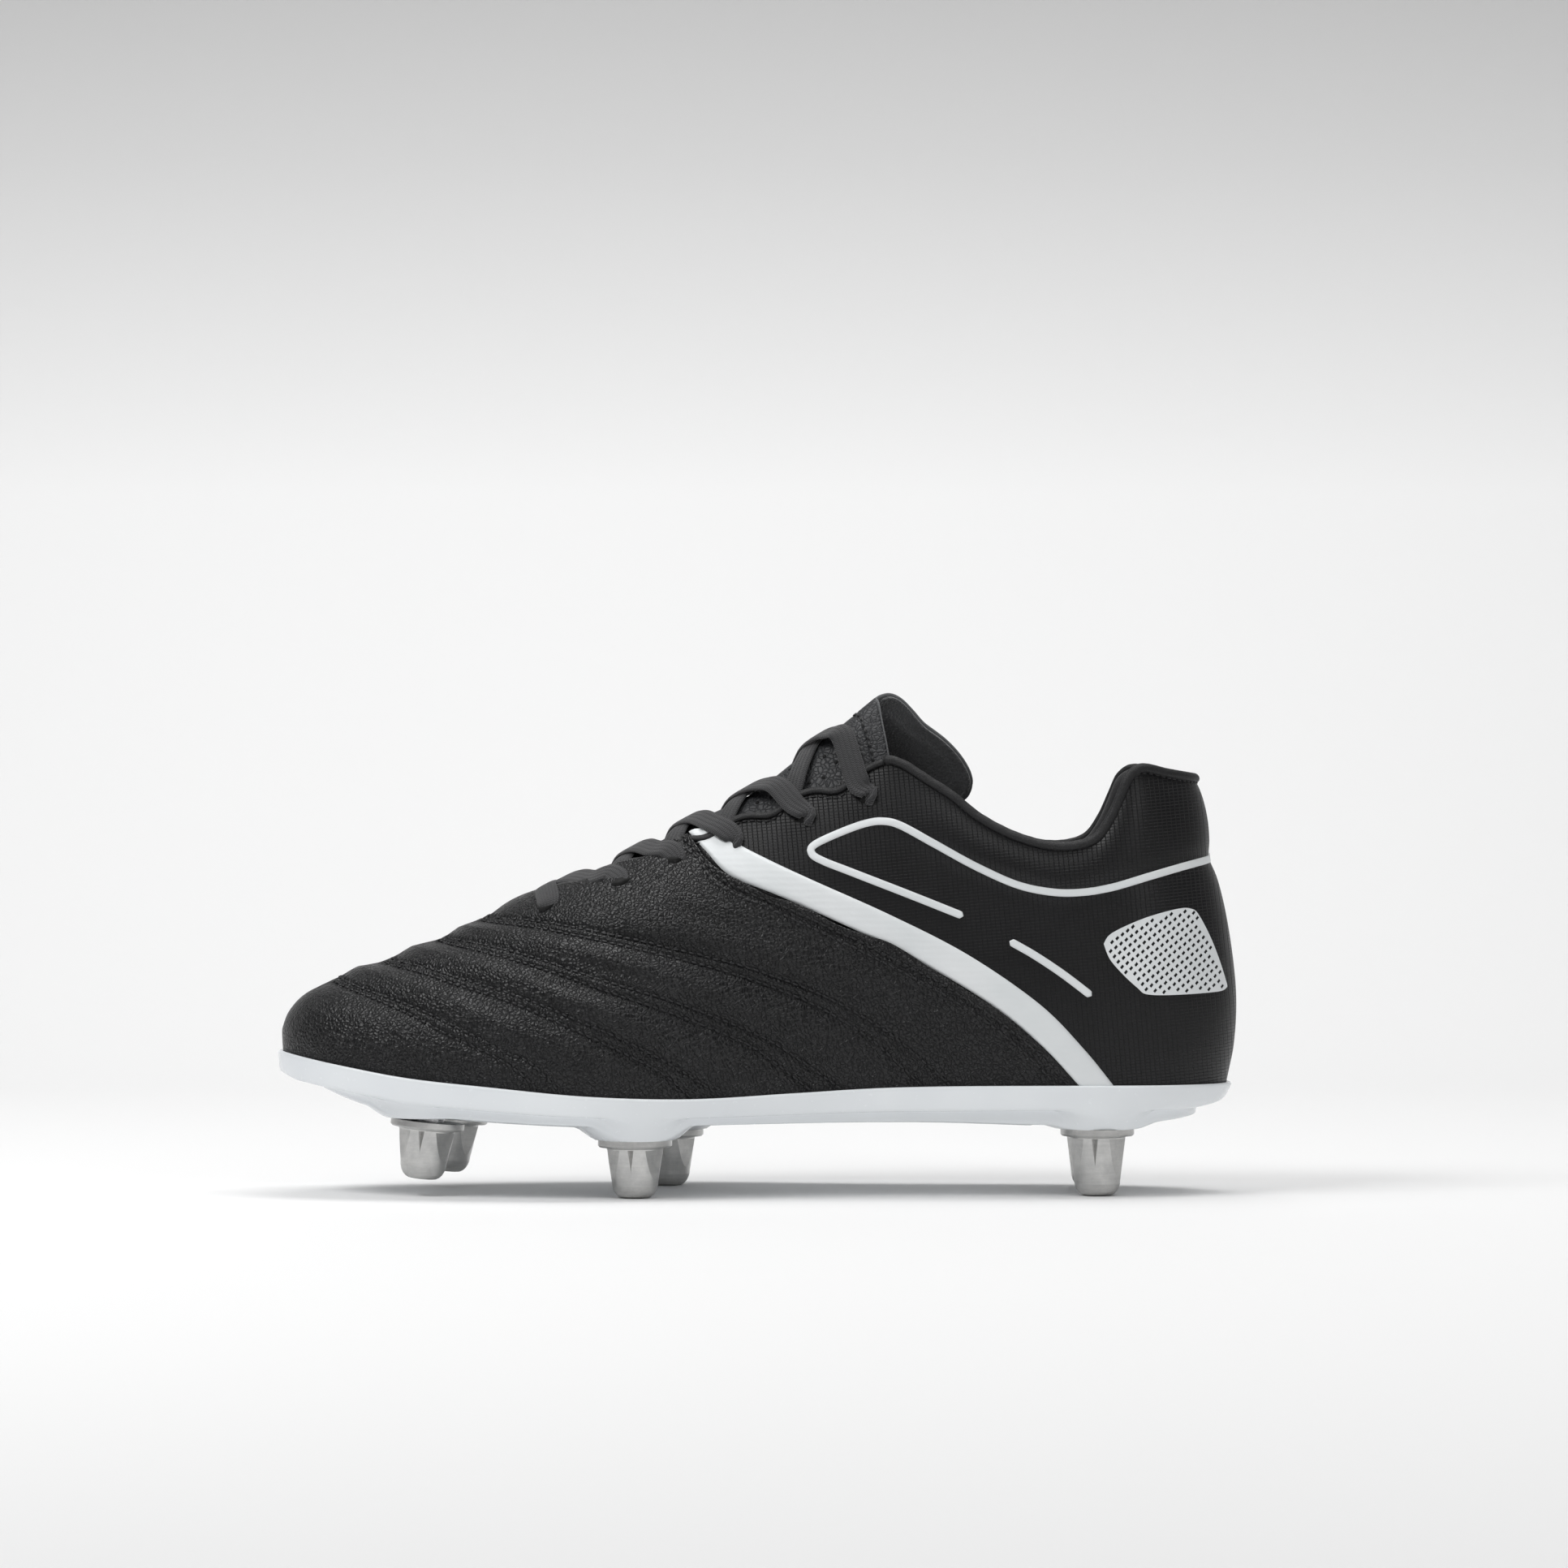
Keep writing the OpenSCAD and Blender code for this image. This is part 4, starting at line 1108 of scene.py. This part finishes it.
def bunched(path, width):
    """The lace is drawn together where it goes into an eyelet."""
    run = np.concatenate([[0], np.cumsum(np.linalg.norm(np.diff(path, axis=0), axis=1))])
    return width * (0.62 + 0.38 * smooth(0.5, 6.5, run)), 1.45 + 1.1 * smooth(4.5, 0.5, run)


def lace_strands():
    strands = []
    for side in (-1, 1):
        for e in range(len(EYELETS) - 1, 0, -1):
            strands.append(crossing(e, side))
    return strands


def ribbon_normals(path):
    """The lace lies flat on the foot form, whose axis is under the instep."""
    centre = np.stack([path[:, 0] + 14, path[:, 1] * 0.15, path[:, 2] - 26], 1)
    return unit(path - centre)


def build_lace(props):
    pieces = []
    for k, strand in enumerate(lace_strands()):
        path = resample(strand, 0.8)
        wide, tall = bunched(path, props.lace_width)
        pieces.append(tube(f"lace_strand_{k}", path, ribbon_normals(path), wide, tall, 16, 0.6))
    x, v = EYELETS[0]
    bar = [wall(angle_of(x), -1, v - 0.02, -1.2), wall(angle_of(x), -1, v + 0.02, 1.2),
           wall(angle_of(x - 1), -1, 0.96, 1.7), over_tongue(x - 1.5, -0.3, 1.2),
               over_tongue(x - 1.5, 0.3, 1.2),
           wall(angle_of(x - 1), 1, 0.96, 1.7), wall(angle_of(x), 1, v + 0.02, 1.2),
               wall(angle_of(x), 1, v - 0.02, -1.2)]
    path = resample(bar, 0.8)
    pieces.append(tube("lace_bar", path, ribbon_normals(path), props.lace_width, 1.5, 14, 0.75))
    x, v = EYELETS[-1]
    for side in (-1, 1):
        tail = [wall(angle_of(x), side, v, -2.2), wall(angle_of(37), side, 0.64, -3.4),
            wall(angle_of(42), side, 0.44, -6.5),
                wall(angle_of(48), side, 0.22, -9), np.array([60.0, side * 13, 41]),
                np.array([80.0, side * 11, 40.1]), np.array([104.0, side * 11, 40.1])]
        path = resample(tail, 1.2)
        up = np.where((path[:, 0] > 56)[:, None], [[0, 0.05, 1.0]],
            unit(np.stack([np.full(len(path), 0.3), -side * np.ones(len(path)), np.full(len(path), 0.5)],
                1)))
        pieces.append(tube(f"lace_tail_{'medial' if side < 0 else 'lateral'}", path, unit(up),
            props.lace_width, 1.4, 14, 0.75))
    lace = join("lace_braid", pieces)
    dress(lace, "lace", nodes=["lace"])


def join(name, objects):
    """Several meshes as one piece."""
    with bpy.context.temp_override(active_object=objects[0], selected_editable_objects=objects,
                                   selected_objects=objects, object=objects[0]):
        bpy.ops.object.join()
    objects[0].name = name
    objects[0].data.name = name
    return objects[0]


# Sole --------------------------------------------------------------------------------------

def boss_list():
    """Each stud's seat as (x, y, z), from the top of its CAD node, in millimetres."""
    seats = []
    for name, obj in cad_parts.items():
        if name.startswith("stud_") and name != "stud_inserts":
            lo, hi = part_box(name)
            seats.append(((lo.x + hi.x) / 2 / MM, (lo.y + hi.y) / 2 / MM, hi.z / MM, name))
    return seats


def build_outsole(props):
    turns = np.linspace(0, 360, 480, endpoint=False)

    def ring(d, z):
        p = around(turns, 0, d)
        return np.stack([p[:, 0], p[:, 1], z(p[:, 0])], 1)

    def feather(x):
        return curve(FEATHER_Z, x)

    def plate(x):
        return curve(PLATE_Z, x)

    def band(x):
        return np.minimum(6.6, 0.66 * (feather(x) - plate(x)) + 2.2 * smooth(-118, -140, x))

    def tier(x):
        return 9.0 * smooth(-104, -141, x) + 4.0 * smooth(112, 141, x)

    def inset(base, share, slope):
        p = around(turns, 0, 0)
        return base - share * tier(p[:, 0]) - slope * 2.4 * smooth(100, 138, p[:, 0])

    rings = [ring(-1.2, lambda x: feather(x) + 0.3), ring(0.3, lambda x: feather(x) + 0.55),
             ring(0.95, lambda x: feather(x) + 0.85), ring(1.5, lambda x: feather(x) + 0.5),
             ring(inset(1.62, 0, 0.05), lambda x: feather(x) - 0.3),
             ring(inset(1.55, 0, 0.25), lambda x: feather(x) - 0.35 * band(x)),
             ring(inset(1.35, 0, 0.6), lambda x: feather(x) - 0.75 * band(x)),
             ring(inset(1.1, 0, 0.85), lambda x: feather(x) - 0.93 * band(x)),
             ring(inset(0.55, 0, 0.95), lambda x: feather(x) - band(x)),
             ring(inset(-0.9, 0.25, 1), lambda x: feather(x) - band(x) - 0.05),
             ring(inset(-2.0, 0.85, 1), lambda x: feather(x) - band(x) - 0.15),
             ring(inset(-2.5, 1, 1), lambda x: mix(feather(x) - band(x), plate(x), 0.4)),
             ring(inset(-2.9, 1, 1), lambda x: mix(feather(x) - band(x), plate(x), 0.85)),
             ring(inset(-3.9, 1.1, 1), lambda x: plate(x) + 0.02), ring(inset(-6.0, 1.2, 1), plate)]
    profile = np.stack(rings, 1)
    u = np.linspace(0, 1, 60)
    side_wall = np.stack([path_at(row, u) for row in profile])
    rim = side_wall[:, -1]
    centre = np.stack([rim[:, 0] * 0.965, np.zeros(len(rim)), rim[:, 2]], 1)
    w = np.linspace(0, 1, 60)[1:]
    under = rim[:, None] * (1 - w[None, :, None]) + centre[:, None] * w[None, :, None]
    grid = np.concatenate([side_wall, under], 1)
    x, y, z = grid[..., 0], grid[..., 1], grid[..., 2]
    height = smooth(50, 58, np.arange(grid.shape[1]))[None, :]
    ribs = 0.0
    for a, b in (((-118, 0), (-60, 0)), ((-60, -16), (20, -6)), ((-60, 16), (20, 6)), ((20, -6), (80, -10)),
        ((20, 6), (80, 10)),
                 ((-99, -19), (-37, -28)), ((-94, 20), (-28, 29))):
        p, q = np.array(a, float), np.array(b, float)
        xy = grid[..., :2]
        f = np.clip(((xy - p) @ (q - p)) / np.dot(q - p, q - p), 0, 1)
        off = np.linalg.norm(xy - (p + f[..., None] * (q - p)), axis=-1)
        ribs = np.maximum(ribs, np.exp(-(off / 3.2) ** 4))
    z = z - height * 1.1 * ribs
    bosses = 0.0
    rise_mask = smooth(22, 46, np.arange(grid.shape[1]))[None, :]
    for bx, by, bz, name in boss_list():
        near = np.hypot(x - bx, y - by)
        raise_to = np.clip(z - bz + 0.05, 0, 30)
        bosses = bosses + raise_to * smooth(18.5, 11.2, near) * rise_mask
    z = z - bosses
    grid = np.stack([x, y, z], -1)
    top = around(turns, 0, -1.2)
    lid = np.stack([top[:, 0] * 0.965, np.zeros(len(top)), feather(top[:, 0] * 0.965) + 0.1], 1)
    w = np.linspace(0, 1, 14)[:-1][::-1]
    start = grid[:, 0]
    over = start[:, None] * (1 - w[None, ::-1, None]) + lid[:, None] * w[None, ::-1, None]
    over = np.stack([start * (1 - k) + lid * k for k in np.linspace(1, 0, 14)[:-1]], 1)
    full = np.concatenate([over, grid], 1)
    n, m = full.shape[:2]
    faces = []
    index = np.arange(n * m).reshape(n, m)
    nxt = np.roll(index, -1, 0)
    for j in range(m - 1):
        faces += np.stack([index[:, j], nxt[:, j], nxt[:, j + 1], index[:, j + 1]], 1).tolist()
    plate_obj = make_object("outsole_moulding", full.reshape(-1, 3), faces)
    close_spine(plate_obj)
    dress(plate_obj, "white sole", nodes=["outsole_plate"])


def close_spine(obj):
    """Joins the two halves of the sole along its middle line and makes its faces agree."""
    import bmesh
    bm = bmesh.new()
    bm.from_mesh(obj.data)
    bmesh.ops.remove_doubles(bm, verts=bm.verts, dist=0.00005)
    bmesh.ops.dissolve_degenerate(bm, edges=bm.edges, dist=0.00001)
    bmesh.ops.recalc_face_normals(bm, faces=bm.faces)
    bm.to_mesh(obj.data)
    bm.free()
    obj.data.update()
    for poly in obj.data.polygons:
        poly.use_smooth = True


def build_insole(props):
    turns = np.linspace(0, 360, 240, endpoint=False)
    rows = []
    for d, up in ((-5.4, 2.2), (-5.2, 4.2), (-5.6, 5.6), (-7.5, 6.2), (-12, 5.9)):
        p = around(turns, 0, d)
        rows.append(np.stack([p[:, 0], p[:, 1], curve(FEATHER_Z, p[:, 0]) + up], 1))
    spine = np.stack([rows[-1][:, 0] * 0.95, np.zeros(len(turns)),
        curve(FEATHER_Z, rows[-1][:, 0] * 0.95) + 5.5], 1)
    for k in np.linspace(0, 1, 12)[1:]:
        rows.append(rows[4] * (1 - k) + spine * k)
    base = np.stack([rows[0] * (1 - k) + (spine - [0, 0, 3.3]) * k for k in np.linspace(1, 0, 8)[:-1]], 1)
    full = np.concatenate([base, np.stack(rows, 1)], 1)
    n, m = full.shape[:2]
    index = np.arange(n * m).reshape(n, m)
    nxt = np.roll(index, -1, 0)
    faces = []
    for j in range(m - 1):
        faces += np.stack([index[:, j], nxt[:, j], nxt[:, j + 1], index[:, j + 1]], 1).tolist()
    bed = make_object("sockliner_footbed", full.reshape(-1, 3), faces)
    close_spine(bed)
    dress(bed, "foam", nodes=["sockliner"])


def build_hardware(props):
    """CAD nodes whose shapes are right get their finishes."""
    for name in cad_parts:
        if name.startswith("stud_") and name != "stud_inserts":
            dress_node(name, "aluminium")
        elif name.startswith("pin_") or name == "stud_inserts":
            dress_node(name, "steel")
    for name, finish in (("insole_board", "board"), ("toe_puff", "stiffener"), ("heel_counter", "stiffener"),
                         ("vamp_lining", "lining"), ("collar_foam", "foam"), ("facing_medial", "lining"),
                         ("facing_lateral", "lining"), ("lace_tips", "tip")):
        dress_node(name, finish)


# Stage -------------------------------------------------------------------------------------

def area_light(name, place, aim, size, power, colour=(1, 1, 1)):
    data = bpy.data.lights.new(name, "AREA")
    data.shape = "RECTANGLE"
    data.size, data.size_y = size
    data.energy = power
    data.color = colour
    lamp = bpy.data.objects.new(name, data)
    lamp.location = place
    lamp.rotation_mode = "QUATERNION"
    lamp.rotation_quaternion = (Vector(aim) - Vector(place)).to_track_quat("-Z", "Y")
    bpy.context.scene.collection.objects.link(lamp)
    return lamp


def build_stage(props):
    floor_edge = 620
    radius = 420
    floor = make_object("floor", [(-4000, -4000, 0), (4000, -4000, 0), (4000, floor_edge, 0),
        (-4000, floor_edge, 0)],
                        [(0, 1, 2, 3)])
    n = Nodes("sweep_painted_shade")
    place = n.place("Object")
    split = n.add("ShaderNodeSeparateXYZ")
    n.link(place, split.inputs[0])
    # Even grey on the floor, darker up the backdrop: painted shade where the lamps' light falls off upward.
    painted_shade_by_height = n.grey(split.outputs[2], ((0.0, 0.84), (0.26, 0.84), (0.40, 0.66), (0.56, 0.42), (0.9, 0.25)))
    n.link(painted_shade_by_height, n.shader.inputs["Base Color"])
    n.set(Roughness=0.8, Specular_IOR_Level=0.15)
    floor.data.materials.append(n.material)
    rows = [(x, floor_edge + radius * math.sin(q), radius * (1 - math.cos(q)))
            for q in np.linspace(0, math.pi / 2, 40) for x in (-4000, 4000)]
    rows += [(x, floor_edge + radius, 3000) for x in (-4000, 4000)]
    faces = [(2 * k, 2 * k + 1, 2 * k + 3, 2 * k + 2) for k in range(len(rows) // 2 - 1)]
    sweep = make_object("backdrop", rows, faces)
    sweep.data.materials.append(n.material)
    world = bpy.context.scene.world
    if world is None:
        world = bpy.data.worlds.new("studio")
        bpy.context.scene.world = world
    world.use_nodes = True
    background = world.node_tree.nodes["Background"]
    background.inputs[0].default_value = (1, 1, 1, 1)
    background.inputs[1].default_value = props.ambient
    area_light("key", (-0.75, -0.55, 1.15), (0, 0, 0.06), (0.7, 0.5), 9.0)
    area_light("top", (0.2, 0.3, 1.5), (0, 0, 0.05), (1.2, 0.5), 9.0)
    area_light("front", (0.9, -1.5, 0.75), (0, 0, 0.06), (0.4, 0.8), 2.6)
    area_light("apron", (0.0, -1.35, 1.5), (0, -1.0, 0), (2.6, 0.8), 9.0)
    area_light("back", (0.0, 0.15, 1.7), (0, 0.95, 0.25), (2.4, 0.6), 12.0)
    data = bpy.data.cameras.new("camera")
    data.sensor_width = 36
    data.lens = 36 * props.camera_distance / 0.4727
    data.clip_start = 0.05
    data.clip_end = 60
    cam = bpy.data.objects.new("camera", data)
    cam.location = (0.0072, -props.camera_distance, 0.1228)
    cam.rotation_euler = (math.pi / 2, 0, 0)
    bpy.context.scene.collection.objects.link(cam)
    bpy.context.scene.camera = cam
    bpy.context.scene.view_settings.view_transform = "Standard"


# Add-on ------------------------------------------------------------------------------------

class CleatSettings(bpy.types.PropertyGroup):
    """Sizes that a user would change."""
    vamp_rows: bpy.props.IntProperty(name="Vamp rows", description="Rows of the vamp's forepart",
        default=150)
    vamp_columns: bpy.props.IntProperty(name="Vamp columns", description="Columns up each side of the vamp",
        default=110)
    quarter_rows: bpy.props.IntProperty(name="Quarter rows", description="Rows of each quarter", default=150)
    quarter_columns: bpy.props.IntProperty(name="Quarter columns", description="Columns of each quarter",
        default=70)
    pillow: bpy.props.FloatProperty(name="Pillow", description="Fullness between the quilted rows, in mm",
        default=1.7)
    groove: bpy.props.FloatProperty(name="Groove", description="Depth of the quilted rows, in mm",
        default=0.75)
    collar_swell: bpy.props.FloatProperty(name="Collar swell",
        description="How far the ankle's foam pushes out, in mm", default=1.6)
    line_width: bpy.props.FloatProperty(name="Line width", description="Width of the white lines, in mm",
        default=2.3)
    lace_width: bpy.props.FloatProperty(name="Lace width", description="Width of the flat lace, in mm",
        default=7.2)
    ambient: bpy.props.FloatProperty(name="Ambient", description="Strength of the even light from all round",
        default=0.10)
    camera_distance: bpy.props.FloatProperty(name="Camera distance", description="Camera to shoe",
        default=1.8, unit="LENGTH")


class CLEAT_OT_stage(bpy.types.Operator):
    """Floor, backdrop, lights and camera"""
    bl_idname = "cleat.stage"
    bl_label = "Stage"

    def execute(self, context):
        build_stage(context.scene.cleat)
        return {"FINISHED"}


class CLEAT_OT_vamp(bpy.types.Operator):
    """Quilted leather vamp and its stitches"""
    bl_idname = "cleat.vamp"
    bl_label = "Vamp"

    def execute(self, context):
        build_vamp(context.scene.cleat)
        return {"FINISHED"}


class CLEAT_OT_quarters(bpy.types.Operator):
    """Synthetic quarters"""
    bl_idname = "cleat.quarters"
    bl_label = "Quarters"

    def execute(self, context):
        build_quarters(context.scene.cleat)
        return {"FINISHED"}


class CLEAT_OT_films(bpy.types.Operator):
    """Stripe, lines and heel patch on each side"""
    bl_idname = "cleat.films"
    bl_label = "White films"

    def execute(self, context):
        build_films(context.scene.cleat)
        return {"FINISHED"}


class CLEAT_OT_collar(bpy.types.Operator):
    """Padded lining and rolled topline"""
    bl_idname = "cleat.collar"
    bl_label = "Collar"

    def execute(self, context):
        build_collar(context.scene.cleat)
        return {"FINISHED"}


class CLEAT_OT_throat(bpy.types.Operator):
    """Rolled throat edge and eyelets"""
    bl_idname = "cleat.throat"
    bl_label = "Throat"

    def execute(self, context):
        build_throat(context.scene.cleat)
        return {"FINISHED"}


class CLEAT_OT_tongue(bpy.types.Operator):
    """Leather tongue with its fleece"""
    bl_idname = "cleat.tongue"
    bl_label = "Tongue"

    def execute(self, context):
        build_tongue(context.scene.cleat)
        return {"FINISHED"}


class CLEAT_OT_lace(bpy.types.Operator):
    """Flat lace through the eyelets"""
    bl_idname = "cleat.lace"
    bl_label = "Lace"

    def execute(self, context):
        build_lace(context.scene.cleat)
        return {"FINISHED"}


class CLEAT_OT_outsole(bpy.types.Operator):
    """Moulded sole plate"""
    bl_idname = "cleat.outsole"
    bl_label = "Outsole"

    def execute(self, context):
        build_outsole(context.scene.cleat)
        return {"FINISHED"}


class CLEAT_OT_insole(bpy.types.Operator):
    """Sockliner"""
    bl_idname = "cleat.insole"
    bl_label = "Insole"

    def execute(self, context):
        build_insole(context.scene.cleat)
        return {"FINISHED"}


class CLEAT_OT_hardware(bpy.types.Operator):
    """Finishes of the studs and inner parts"""
    bl_idname = "cleat.hardware"
    bl_label = "Hardware"

    def execute(self, context):
        build_hardware(context.scene.cleat)
        return {"FINISHED"}


OPERATORS = (CLEAT_OT_stage, CLEAT_OT_vamp, CLEAT_OT_quarters, CLEAT_OT_films,
             CLEAT_OT_collar, CLEAT_OT_throat, CLEAT_OT_tongue, CLEAT_OT_lace,
             CLEAT_OT_outsole, CLEAT_OT_insole, CLEAT_OT_hardware)


class CLEAT_PT_panel(bpy.types.Panel):
    """Lists the steps that build the cleat."""
    bl_idname = "CLEAT_PT_panel"
    bl_label = "Cleat"
    bl_space_type = "VIEW_3D"
    bl_region_type = "UI"
    bl_category = "Cleat"

    def draw(self, context):
        for item in OPERATORS:
            self.layout.operator(item.bl_idname)


CLASSES = [CleatSettings, *OPERATORS, CLEAT_PT_panel]


def register():
    for item in CLASSES:
        bpy.utils.register_class(item)
    bpy.types.Scene.cleat = bpy.props.PointerProperty(type=CleatSettings)


def unregister():
    del bpy.types.Scene.cleat
    for item in reversed(CLASSES):
        bpy.utils.unregister_class(item)


def main():
    register()
    for item in OPERATORS:
        getattr(bpy.ops.cleat, item.bl_idname.split(".")[1])()


if __name__ == "__main__":
    main()
